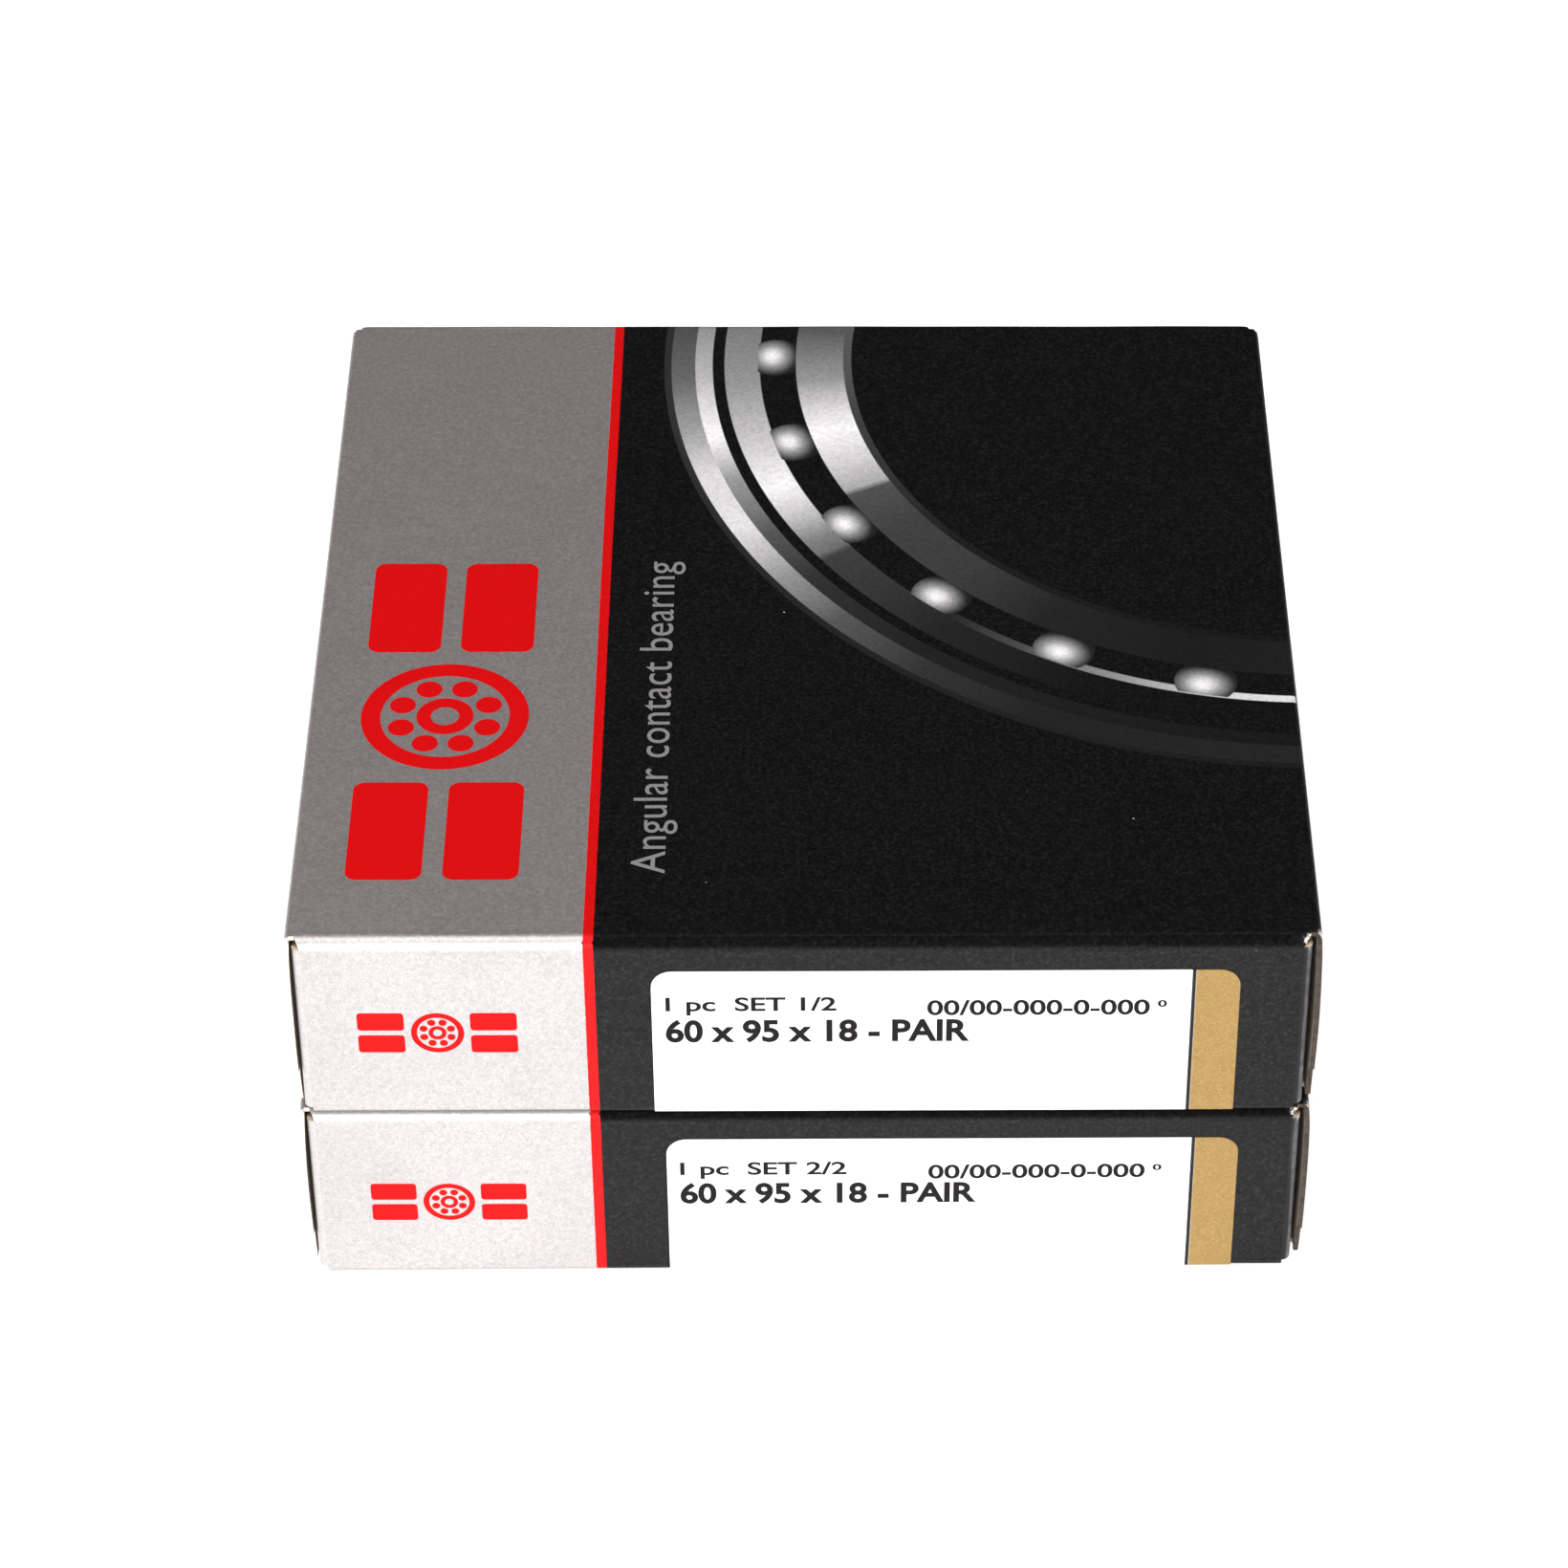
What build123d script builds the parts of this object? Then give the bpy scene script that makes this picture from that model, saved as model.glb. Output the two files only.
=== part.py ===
from build123d import *
from math import sin, cos, sqrt, radians
import os

# Two closed tuck-end cartons stacked one on the other, each holding one
# angular contact ball bearing lying flat (a matched pair).
# Millimetres, +Z up, origin at the centre of the lower carton's underside.
# -Y is the labelled front, +X is the right tuck end and -X the left one.
# Carton heights below are measured from that carton's own underside.

# ---------------------------------------------------------------- carton
CARTON_W = 100.0        # across the two end closures
CARTON_D = 101.0        # front panel to back panel
CARTON_H = 22.5         # one carton
BOARD = 0.5             # folding board thickness
FOLD_R = 0.9            # outside radius of the four long folds
PANEL_END = 48.4        # front and back panels stop here in X
TOP_END = 49.45         # top panel reaches to the closure crease
TOP_LIP_HALF = 49.6     # half width of the top panel at the crease
BOTTOM_END = 49.2       # bottom panel edge
BOTTOM_LIP_HALF = TOP_LIP_HALF - 0.8
SEAM_FLAP_H = 14.0      # seam flap glued inside the back panel
SEAM_FLAP_HALF = 45.5

# tuck tab, folded in under the bearing
TAB_TOP = 1.10          # height of the fold between closure and tuck tab
TAB_RISE = 0.6          # the tab springs up this much over its length
TAB_LEN = 8.0
TAB_HALF = 47.5
TAB_CORNER_R = 4.5

# end closure
CREASE_X = CARTON_W / 2 - BOARD / 2
CREASE_Z = CARTON_H - BOARD / 2
CLOSURE_BOTTOM = TAB_TOP + 0.02     # just clear of the tuck tab
CLOSURE_HALF = 50.1     # half width above the slit lock
CLOSURE_LOCK_HALF = 49.3
LOCK_H = 5.2            # height of the slit-lock step
CREASE_NOTCH_H = 1.4    # notch centred on the crease, half of it above

# dust flaps; lengths run inward from the vertical crease
FLAP_X = 48.7
FLAP_Y = CARTON_D / 2 - BOARD / 2
FLAP_LEN = 25.0
FLAP_BOTTOM = 0.95      # lower edge at the crease
FLAP_FOOT_LEN = 1.6     # this length stays at the bottom height
FLAP_STEP_END = 2.6     # the lower edge has stepped up by here
FLAP_LOW = 2.5          # lower edge after the step
FLAP_LOW_RISE = 1.5     # further rise of the lower edge to the free end
FLAP_TOP = 21.5         # upper edge at the crease
FLAP_SLOPE = 0.27       # taper of the upper edge
FLAP_CORNER_R = 2.0

# ---------------------------------------------------------------- label
LABEL_T = 0.1
LABEL_GAP = 0.002       # label to board
LABEL_TOP = 18.3
LABEL_CORNER_R = 2.0
LABEL_WRAP_DEG = 55     # how far it wraps round the lower fold

# ---------------------------------------------------------------- bearing
BORE = 60.0
OUTSIDE = 95.0
WIDTH = 18.0
PITCH_R = (BORE + OUTSIDE) / 4
BALL_D = 11.1125
BALLS = 18
CONTACT_ANGLE = radians(25)
CLEAR = 0.01            # ball to raceway
BEARING_Z = 1.9         # underside of the bearing

OUTER_SHOULDER_R = 41.8
OUTER_RELIEF_R = 43.4           # relieved side, at the raceway
OUTER_RELIEF_FACE_R = 43.9      # relieved side, at the top face
INNER_SHOULDER_R = 35.7
RING_CORNER_R = 1.1             # bore and outside corners
SHOULDER_CORNER_R = 0.6
RELIEF_CORNER_R = 0.5

# raceway arcs, their centres offset from the ball centre along the contact line
OUTER_RACE_R = 5.85
INNER_RACE_R = 5.75
OUTER_OFFSET = OUTER_RACE_R - BALL_D / 2 - CLEAR
INNER_OFFSET = INNER_RACE_R - BALL_D / 2 - CLEAR
OUTER_RACE_X = PITCH_R - OUTER_OFFSET * cos(CONTACT_ANGLE)
OUTER_RACE_Z = WIDTH / 2 + OUTER_OFFSET * sin(CONTACT_ANGLE)
INNER_RACE_X = PITCH_R + INNER_OFFSET * cos(CONTACT_ANGLE)
INNER_RACE_Z = WIDTH / 2 - INNER_OFFSET * sin(CONTACT_ANGLE)

CAGE_IN_R = 37.6
CAGE_OUT_R = 41.4
CAGE_W = 14.0
CAGE_CHAMFER = 0.35
POCKET_D = 11.5
POCKET_CUT_LEN = 14     # radial length of the pocket cutter

# ---------------------------------------------------------------- the two levels
# level: (carton underside Z, label left X, label right X, bearing centre X)
LEVELS = {
    "upper": (CARTON_H, -14.7, 42.3, -1.0),
    "lower": (0.0, -13.7, 43.1, 1.0),
}
ENDS = {"right": 1, "left": -1}     # sign of X
FACES = {"front": -1, "back": 1}    # sign of Y


def carton_body(base_z):
    """Printed tube: four panels, long folds and the seam flap."""
    with BuildPart() as body:
        with BuildSketch(Plane.YZ.offset(-PANEL_END)):
            with Locations((0, base_z + CARTON_H / 2)):
                RectangleRounded(CARTON_D, CARTON_H, FOLD_R)
                RectangleRounded(
                    CARTON_D - 2 * BOARD,
                    CARTON_H - 2 * BOARD,
                    FOLD_R - BOARD,
                    mode=Mode.SUBTRACT,
                )
        extrude(amount=2 * PANEL_END)
        # top panel runs on to the closure creases
        with Locations((0, 0, base_z + CARTON_H - BOARD / 2)):
            Box(2 * TOP_END, 2 * TOP_LIP_HALF, BOARD)
        # bottom panel edge under the tuck tabs
        with Locations((0, 0, base_z + BOARD / 2)):
            Box(2 * BOTTOM_END, 2 * BOTTOM_LIP_HALF, BOARD)
        # seam flap against the inside of the back panel
        with Locations((0, CARTON_D / 2 - 1.5 * BOARD, base_z + BOARD / 2 + SEAM_FLAP_H / 2)):
            Box(2 * SEAM_FLAP_HALF, BOARD, SEAM_FLAP_H)
    return body


def front_label(base_z, left_x, right_x):
    """Label on the front panel, wrapped a little way round the lower fold."""
    front_y = -CARTON_D / 2
    fold_y, fold_z = front_y + FOLD_R, base_z + FOLD_R
    top_z = base_z + LABEL_TOP
    outer_y, inner_y = front_y - LABEL_T, front_y - LABEL_GAP
    wrap = radians(LABEL_WRAP_DEG)

    def round_fold(radius):
        """Start, middle and end of the wrap at a radius from the fold's centre."""
        return [
            (fold_y - radius * cos(angle), fold_z - radius * sin(angle))
            for angle in (0, wrap / 2, wrap)
        ]

    outer_arc = round_fold(FOLD_R + LABEL_T)
    inner_arc = round_fold(FOLD_R + LABEL_GAP)
    with BuildPart() as label:
        with BuildSketch(Plane.YZ.offset(left_x)):
            with BuildLine():
                Line((outer_y, fold_z), (outer_y, top_z))
                Line((outer_y, top_z), (inner_y, top_z))
                Line((inner_y, top_z), (inner_y, fold_z))
                ThreePointArc(*inner_arc)
                Line(inner_arc[-1], outer_arc[-1])
                ThreePointArc(*reversed(outer_arc))
            make_face()
        extrude(amount=right_x - left_x)
        top_corners = label.edges().filter_by(Axis.Y).group_by(Axis.Z)[-1]
        fillet(top_corners, radius=LABEL_CORNER_R)
    return label


def end_closure(base_z, end):
    """Panel that continues the top panel down one end."""
    x = end * CREASE_X
    lock_z = base_z + LOCK_H / 2
    crease_z = base_z + CREASE_Z
    with BuildPart() as closure:
        with Locations((x, 0, base_z + (CLOSURE_BOTTOM + CREASE_Z) / 2)):
            Box(BOARD, 2 * CLOSURE_HALF, CREASE_Z - CLOSURE_BOTTOM)
        with Locations((x, 0, crease_z)):
            Cylinder(BOARD / 2, 2 * TOP_LIP_HALF, rotation=(90, 0, 0))
        # narrower below the slit lock
        with Locations((x, CLOSURE_HALF, lock_z), (x, -CLOSURE_HALF, lock_z)):
            Box(2 * BOARD, 2 * (CLOSURE_HALF - CLOSURE_LOCK_HALF), LOCK_H, mode=Mode.SUBTRACT)
        # notched to the top panel's width at the crease
        with Locations((x, CLOSURE_HALF, crease_z), (x, -CLOSURE_HALF, crease_z)):
            Box(
                2 * BOARD,
                2 * (CLOSURE_HALF - TOP_LIP_HALF),
                CREASE_NOTCH_H,
                mode=Mode.SUBTRACT,
            )
    return closure


def tuck_tab(base_z, end):
    """Tab at the foot of a closure, with its rounded fold."""
    root_x = end * (CREASE_X - BOARD / 2)
    tip_x = root_x - end * TAB_LEN
    outer_x = root_x + end * BOARD
    z = base_z + TAB_TOP
    fold_mid = (
        root_x + end * BOARD * cos(radians(45)),
        z - BOARD * sin(radians(45)),
    )
    with BuildPart() as tab:
        with BuildSketch(Plane.XZ):
            with BuildLine():
                Polyline(
                    (root_x, z - BOARD),
                    (tip_x, z - BOARD + TAB_RISE),
                    (tip_x, z + TAB_RISE),
                    (root_x, z),
                    (outer_x, z),
                )
                ThreePointArc((outer_x, z), fold_mid, (root_x, z - BOARD))
            make_face()
        extrude(amount=TAB_HALF, both=True)
        # the free end is at the lowest X on the right, the highest on the left
        free_end = 0 if end > 0 else -1
        tip_corners = tab.edges().filter_by(Axis.Z).group_by(Axis.X)[free_end]
        fillet(tip_corners, radius=TAB_CORNER_R)
    return tab


def dust_flap(base_z, end, face):
    """Flap hinged on a front or back panel's end, folded in behind the closure."""
    # (length inward from the crease, height)
    outline_table = [
        (0, FLAP_BOTTOM),
        (FLAP_FOOT_LEN, FLAP_BOTTOM),
        (FLAP_STEP_END, FLAP_LOW),
        (FLAP_LEN, FLAP_LOW + FLAP_LOW_RISE),
        (FLAP_LEN, FLAP_TOP - FLAP_SLOPE * FLAP_LEN),
        (0, FLAP_TOP),
        (0, FLAP_BOTTOM),
    ]
    points = [(face * (FLAP_Y - inward), base_z + z) for inward, z in outline_table]
    with BuildPart() as flap:
        with BuildSketch(Plane.YZ.offset(end * FLAP_X - BOARD / 2)) as outline:
            with BuildLine():
                Polyline(*points)
            make_face()
            # sketch X is world Y: a front flap's free end is its highest
            free_end = -1 if face < 0 else 0
            fillet(outline.vertices().group_by(Axis.X)[free_end], radius=FLAP_CORNER_R)
        extrude(amount=BOARD)
        # rounded crease
        with Locations((end * FLAP_X, face * FLAP_Y, base_z + (FLAP_BOTTOM + FLAP_TOP) / 2)):
            Cylinder(BOARD / 2, FLAP_TOP - FLAP_BOTTOM)
    return flap


def section_plane(origin):
    """Bearing section: sketch X is the radius, sketch Y the height above its underside."""
    return Plane(origin=origin, x_dir=(1, 0, 0), z_dir=(0, -1, 0))


def outer_ring(origin):
    # heights where the raceway arc meets the relieved side and the shoulder
    relief_z = OUTER_RACE_Z + sqrt(OUTER_RACE_R**2 - (OUTER_RELIEF_R - OUTER_RACE_X)**2)
    shoulder_z = OUTER_RACE_Z - sqrt(OUTER_RACE_R**2 - (OUTER_SHOULDER_R - OUTER_RACE_X)**2)
    with BuildPart() as ring:
        with BuildSketch(section_plane(origin)) as section:
            with BuildLine():
                Polyline(
                    (OUTER_SHOULDER_R, 0),
                    (OUTSIDE / 2, 0),
                    (OUTSIDE / 2, WIDTH),
                    (OUTER_RELIEF_FACE_R, WIDTH),
                    (OUTER_RELIEF_R, relief_z),
                    (OUTER_SHOULDER_R, shoulder_z),
                    (OUTER_SHOULDER_R, 0),
                )
            make_face()
            with Locations((OUTER_RACE_X, OUTER_RACE_Z)):
                Circle(OUTER_RACE_R, mode=Mode.SUBTRACT)
            fillet(section.vertices().group_by(Axis.X)[-1], radius=RING_CORNER_R)
            shoulder_corner = section.vertices().group_by(Axis.Y)[0].sort_by(Axis.X)[0]
            fillet(shoulder_corner, radius=SHOULDER_CORNER_R)
            relief_corner = section.vertices().group_by(Axis.Y)[-1].sort_by(Axis.X)[0]
            fillet(relief_corner, radius=RELIEF_CORNER_R)
        revolve(axis=Axis(origin, (0, 0, 1)))
    return ring


def inner_ring(origin):
    with BuildPart() as ring:
        with BuildSketch(section_plane(origin)) as section:
            with BuildLine():
                Polyline(
                    (BORE / 2, 0),
                    (INNER_SHOULDER_R, 0),
                    (INNER_SHOULDER_R, WIDTH),
                    (BORE / 2, WIDTH),
                    (BORE / 2, 0),
                )
            make_face()
            with Locations((INNER_RACE_X, INNER_RACE_Z)):
                Circle(INNER_RACE_R, mode=Mode.SUBTRACT)
            fillet(section.vertices().group_by(Axis.X)[0], radius=RING_CORNER_R)
            # bottom shoulder corner, then the top one
            for level in (0, -1):
                corner = section.vertices().group_by(Axis.Y)[level].sort_by(Axis.X)[-1]
                fillet(corner, radius=SHOULDER_CORNER_R)
        revolve(axis=Axis(origin, (0, 0, 1)))
    return ring


def ball_cage(origin):
    """One-piece machined cage, guided on the outer ring shoulder."""
    x, y, z = origin
    with BuildPart() as cage:
        with BuildSketch(section_plane(origin)) as section:
            with Locations(((CAGE_IN_R + CAGE_OUT_R) / 2, WIDTH / 2)):
                Rectangle(CAGE_OUT_R - CAGE_IN_R, CAGE_W)
            chamfer(section.vertices(), length=CAGE_CHAMFER)
        revolve(axis=Axis(origin, (0, 0, 1)))
        with Locations((x, y, z + WIDTH / 2)):
            with PolarLocations(PITCH_R, BALLS):
                Cylinder(POCKET_D / 2, POCKET_CUT_LEN, rotation=(0, 90, 0), mode=Mode.SUBTRACT)
    return cage


def ball_set(origin):
    x, y, z = origin
    with BuildPart() as balls:
        with Locations((x, y, z + WIDTH / 2)):
            with PolarLocations(PITCH_R, BALLS):
                Sphere(BALL_D / 2)
    return balls


# ---------------------------------------------------------------- build and export
pieces = {}
for level, (base_z, label_left, label_right, bearing_x) in LEVELS.items():
    pieces[f"{level}_carton_body"] = carton_body(base_z)
    pieces[f"{level}_label"] = front_label(base_z, label_left, label_right)
    for end_name, end in ENDS.items():
        pieces[f"{level}_{end_name}_closure"] = end_closure(base_z, end)
        pieces[f"{level}_{end_name}_tuck_tab"] = tuck_tab(base_z, end)
        for face_name, face in FACES.items():
            flap_name = f"{level}_{end_name}_{face_name}_dust_flap"
            pieces[flap_name] = dust_flap(base_z, end, face)

    # centre of the bearing's underside
    bearing_origin = (bearing_x, 0, base_z + BEARING_Z)
    pieces[f"{level}_outer_ring"] = outer_ring(bearing_origin)
    pieces[f"{level}_inner_ring"] = inner_ring(bearing_origin)
    pieces[f"{level}_cage"] = ball_cage(bearing_origin)
    pieces[f"{level}_balls"] = ball_set(bearing_origin)

os.makedirs("parts", exist_ok=True)
for name, piece in pieces.items():
    piece.part.label = name
    export_step(piece.part, f"parts/{name}.step")
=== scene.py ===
"""Two square board cartons stacked one on the other, each holding a ball bearing.

The axis of the bearings is vertical, the front panels face -Y, the end closures face
-X (left) and +X (right), and the lower carton stands on z = 0. Sizes are in mm.
"""
import math
from functools import cached_property

import bmesh
import bpy
import numpy as np
from mathutils import Matrix, Vector
from mathutils.geometry import tessellate_polygon


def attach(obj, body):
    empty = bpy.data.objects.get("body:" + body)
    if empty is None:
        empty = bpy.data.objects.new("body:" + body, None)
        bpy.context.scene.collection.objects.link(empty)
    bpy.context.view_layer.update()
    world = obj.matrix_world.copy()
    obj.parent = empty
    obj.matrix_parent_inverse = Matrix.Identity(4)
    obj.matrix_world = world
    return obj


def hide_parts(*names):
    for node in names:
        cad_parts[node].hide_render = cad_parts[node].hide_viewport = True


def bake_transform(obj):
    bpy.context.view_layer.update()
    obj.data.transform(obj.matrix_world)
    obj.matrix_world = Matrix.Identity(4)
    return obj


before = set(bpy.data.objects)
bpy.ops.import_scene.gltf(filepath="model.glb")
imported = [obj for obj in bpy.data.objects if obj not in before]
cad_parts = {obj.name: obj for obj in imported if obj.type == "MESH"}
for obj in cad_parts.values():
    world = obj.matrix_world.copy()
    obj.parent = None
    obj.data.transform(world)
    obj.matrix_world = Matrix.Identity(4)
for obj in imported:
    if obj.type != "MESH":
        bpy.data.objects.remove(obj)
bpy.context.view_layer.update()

MM = 0.001
rng = np.random.default_rng(12)

# ------------------------------------------------------------------ sizes
CARTONS = ("lower", "upper")
SIDES = {"right": 1, "left": -1}
FACES = {"front": -1, "back": 1}

HALF_DEPTH = 50.5           # front panel to back panel
HALF_WIDTH = 50.0           # closure panel to closure panel
HEIGHT = 22.5               # one carton
BASE_Z = {"lower": 0.0, "upper": HEIGHT}
SETTLED_HEIGHT = 22.26      # the lower carton under load
BOARD = 0.5

LOW_FOLD_R = 0.7            # outside radius of the lower long folds
FRONT_FOLD_R = 1.3          # and of the upper front fold
BACK_FOLD_R = 0.8           # and of the upper back fold
TOP_END_X, BOTTOM_END_X = 49.0, 49.2
SIDE_END_X = {1: 48.25, -1: 48.43}   # where the front and back panels turn into dust flaps

CREASE_R = 0.5              # folds above and below a closure panel
CREASE_X = HALF_WIDTH - CREASE_R
CREASE_Z = HEIGHT - CREASE_R
LIP_HALF = 49.55            # half width of the lip above the closure
LOCK_Z = 5.2                # the closure panel narrows below this height
CLOSURE_END_Z = 1.12
BOW = {1: 0.12, -1: 0.10}   # how far a closure bellies out
CLOSURE_PHASE = {("upper", 1): 0.2, ("upper", -1): 1.4, ("lower", 1): 2.3, ("lower", -1): 3.7}
TUCK_Z = 1.1                # centre height of the tuck fold
TUCK_REACH, TUCK_DROP = 8.0, 0.6
TUCK_CORNER_R = 4.5

FLAP_X = {1: 49.10, -1: 49.28}       # outside of the dust flap fold
FLAP_END_X = 48.95          # the flap leans in to here behind the closure
FLAP_FOLD_R = 0.85
FLAP_LOW, FLAP_HIGH = 0.95, 21.5
FLAP_TAPER = 0.27           # drop of the flap's upper edge per mm of reach
FLAP_LENGTH, FLAP_CORNER_R = 25.0, 2.0

LABEL_X = {"upper": (-14.7, 42.3), "lower": (-13.7, 43.1)}
LABEL_TOP, LABEL_CORNER_R = 18.3, 2.0
LABEL_GAP = 0.10            # outer face of the label beyond the board
LABEL_PAPER = 0.095
PRINT_RISE = {"upper": 0.40, "lower": 0.56}     # front print sits this much higher
EMBLEM_Z = {"upper": 7.9, "lower": 7.08}

BEARING_X = {"upper": -1.0, "lower": 1.0}
BALLS, BALL_CIRCLE_R, BALL_Z = 18, 38.75, 10.9
BALL_R = 5.522              # a hair under size so that the faceted races never cut the balls


# ------------------------------------------------------------------ shape of a used carton
def ripple(a, b, phase):
    """Smooth waves of about unit height."""
    long_wave = np.sin(a * 0.071 + phase) * np.cos(b * 0.093 + 1.7 * phase)
    return (long_wave + 0.6 * np.sin(a * 0.151 - b * 0.113 + 2.1 * phase)) / 1.6


def swell(x, z, carton, back=False):
    """How far the front or back panel stands out of its flat plane."""
    phase = (0.3 if carton == "upper" else 1.9) + (2.2 if back else 0.0)
    level = np.clip((z - LOW_FOLD_R) / (HEIGHT - LOW_FOLD_R - FRONT_FOLD_R), 0, 1)
    middle = np.clip(1 - (np.abs(x) / HALF_WIDTH) ** 4, 0, 1)
    return np.sin(np.pi * level) ** 0.8 * (0.10 * middle + 0.035 * ripple(x, z * 3, phase))


def sink(x, y, carton):
    """How far the top panel lies below its flat plane."""
    phase = 0.8 if carton == "upper" else 2.6
    middle = (np.clip(1 - (np.abs(y) / 49.6) ** 3, 0, 1)
              * np.clip(1 - (np.abs(x) / HALF_WIDTH) ** 6, 0, 1))
    return middle * (0.10 + 0.05 * ripple(x, y, phase))


def settle(points, carton):
    """Moves points to where they stand under load: front and back pushed outwards a
    little, the lower carton pressed down, upper corners knocked round."""
    x, y, z = np.array(points, float).T
    across = x / HALF_WIDTH
    up = np.clip(z / HEIGHT, 0, 1)
    front = (0.51 - 0.07 * across) * up + (0.24 - 0.34 * across) * (1 - up)
    back = 0.56 - 0.17 * across
    push = np.where(y < 0, -front, back) * np.clip(np.abs(y) / HALF_DEPTH, 0, 1)
    # the upper carton takes up what the lower one loses, and rises a little at the back
    upper_height = 2 * HEIGHT - SETTLED_HEIGHT
    pressed = np.where(z < HEIGHT, z * (SETTLED_HEIGHT / HEIGHT),
                       SETTLED_HEIGHT + (z - HEIGHT) * (upper_height / HEIGHT))
    pressed = pressed + (np.clip((z - HEIGHT) / HEIGHT, 0, 1)
                         * np.clip(y / HALF_DEPTH, 0, 1) * (0.20 - 0.10 * across))
    corner = (np.clip((np.abs(x) - 48.3) / 1.7, 0, 1) * np.clip((np.abs(y) - 48.8) / 1.7, 0, 1)
              * np.clip((z - BASE_Z[carton] - 19.5) / 3.0, 0, 1))
    knock = corner * corner * np.where(y > 0, 1.0, 0.22)
    return np.stack([x - np.sign(x) * 0.5 * knock, y + push - np.sign(y) * 0.4 * knock,
                     pressed - 0.9 * knock], -1)


def near(distance, width):
    """1 at no distance, fading as a bell curve."""
    return np.exp(-(distance / width) ** 2)


def direction(degrees):
    angle = math.radians(degrees)
    return math.cos(angle), math.sin(angle)


def corner_inset(past, radius):
    """How far a rounded corner draws in, this far past its start."""
    past = max(0.0, past)
    return radius - math.sqrt(max(0.0, radius * radius - past * past))


# ------------------------------------------------------------------ mesh tools
def make_mesh(name, points, faces, materials, sharp, face_materials=None, wear=None):
    """A settled mesh object; the carton is the first word of its name."""
    mesh = bpy.data.meshes.new(name)
    points = settle(points, name.split("_")[0])
    mesh.from_pydata([tuple(p) for p in points * MM], [], faces)
    for material in materials:
        mesh.materials.append(material)
    if face_materials is not None:
        mesh.polygons.foreach_set("material_index", np.asarray(face_materials, np.int32))
    mesh.polygons.foreach_set("use_smooth", np.ones(len(mesh.polygons), bool))
    mesh.update()
    mesh.set_sharp_from_angle(angle=math.radians(sharp))
    if wear is not None:
        attribute = mesh.attributes.new("wear", "FLOAT", "POINT")
        attribute.data.foreach_set("value", np.asarray(wear, np.float32))
    return link_object(name, mesh)


def link_object(name, data):
    ob = bpy.data.objects.new(name, data)
    bpy.context.scene.collection.objects.link(ob)
    return ob


def rims(nu, nv, closed):
    """Boundary loops of a grid, as pairs (rim point, its neighbour further in)."""
    if closed:
        return [[((i, 0), (i, 1)) for i in range(nu)],
                [((i, -1), (i, -2)) for i in reversed(range(nu))]]
    return [[((0, k), (1, k)) for k in range(nv)]
            + [((i, -1), (i, -2)) for i in range(1, nu)]
            + [((-1, k), (-2, k)) for k in reversed(range(nv - 1))]
            + [((i, 0), (i, 1)) for i in reversed(range(1, nu - 1))]]


def sheet(name, grid, normals, materials, wear, thickness=BOARD, closed=False, cut=0.03):
    """A board or paper sheet: outer grid (nu, nv, 3) with unit normals, its thickness behind
    it, and walls that stand out by about cut. closed joins the last row to the first.
    Material 0 is the printed face, 1 the inside face, 2 the cut edge."""
    nu, nv = grid.shape[:2]
    outer = grid.reshape(-1, 3)
    inner = (grid - thickness * normals).reshape(-1, 3)
    count = nu * nv
    index = np.arange(count).reshape(nu, nv)
    mid = nv // 2
    turned = np.cross(grid[1, mid] - grid[0, mid], grid[0, mid + 1] - grid[0, mid])
    flip = np.dot(turned, normals[0, mid]) < 0
    faces, face_materials = [], []
    for i in range(nu if closed else nu - 1):
        j = (i + 1) % nu
        for k in range(nv - 1):
            quad = (index[i, k], index[j, k], index[j, k + 1], index[i, k + 1])
            quad = tuple(int(v) for v in quad)
            if flip:
                quad = quad[::-1]
            faces += [quad, tuple(v + count for v in quad[::-1])]
            face_materials += [0, 1]

    blocks, walls, base = [outer, inner], [], 2 * count
    loops = rims(nu, nv, closed)
    for loop in loops:
        rim = np.array([index[point] for point, _ in loop])
        out = np.array([grid[point] - grid[inward] for point, inward in loop])
        out /= np.linalg.norm(out, axis=1)[:, None] + 1e-9
        rows = [rim]
        # a cut edge bulges unevenly, most at the middle of the board
        for depth, bulge in ((0.16, 0.75), (0.5, 1.0), (0.84, 0.75)):
            bump = cut * bulge * (0.7 + 0.6 * rng.random(len(rim)))[:, None]
            blocks.append(outer[rim] * (1 - depth) + inner[rim] * depth + out * bump)
            rows.append(np.arange(base, base + len(rim)))
            base += len(rim)
        rows.append(rim + count)
        for upper, lower in zip(rows[:-1], rows[1:]):
            for i in range(len(rim)):
                j = (i + 1) % len(rim)
                walls.append((int(upper[i]), int(upper[j]), int(lower[j]), int(lower[i])))
    points = np.vstack(blocks)
    # the first wall is tested against the way out, and all are turned together
    first = walls[0]
    facing = np.cross(points[first[1]] - points[first[0]], points[first[3]] - points[first[0]])
    point, inward = loops[0][0]
    if np.dot(facing, grid[point] - grid[inward]) < 0:
        walls = [wall[::-1] for wall in walls]
    faces += walls
    face_materials += [2] * len(walls)
    level = wear.reshape(-1)
    level = np.concatenate([level, level, np.ones(base - 2 * count)])
    return make_mesh(name, points, faces, materials, 50, face_materials, level)


# ------------------------------------------------------------------ shader tools
def math_operator(kind, swapped=False):
    def apply(self, other):
        pair = (other, self) if swapped else (self, other)
        return self.graph.math(kind, *pair)
    return apply


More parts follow.
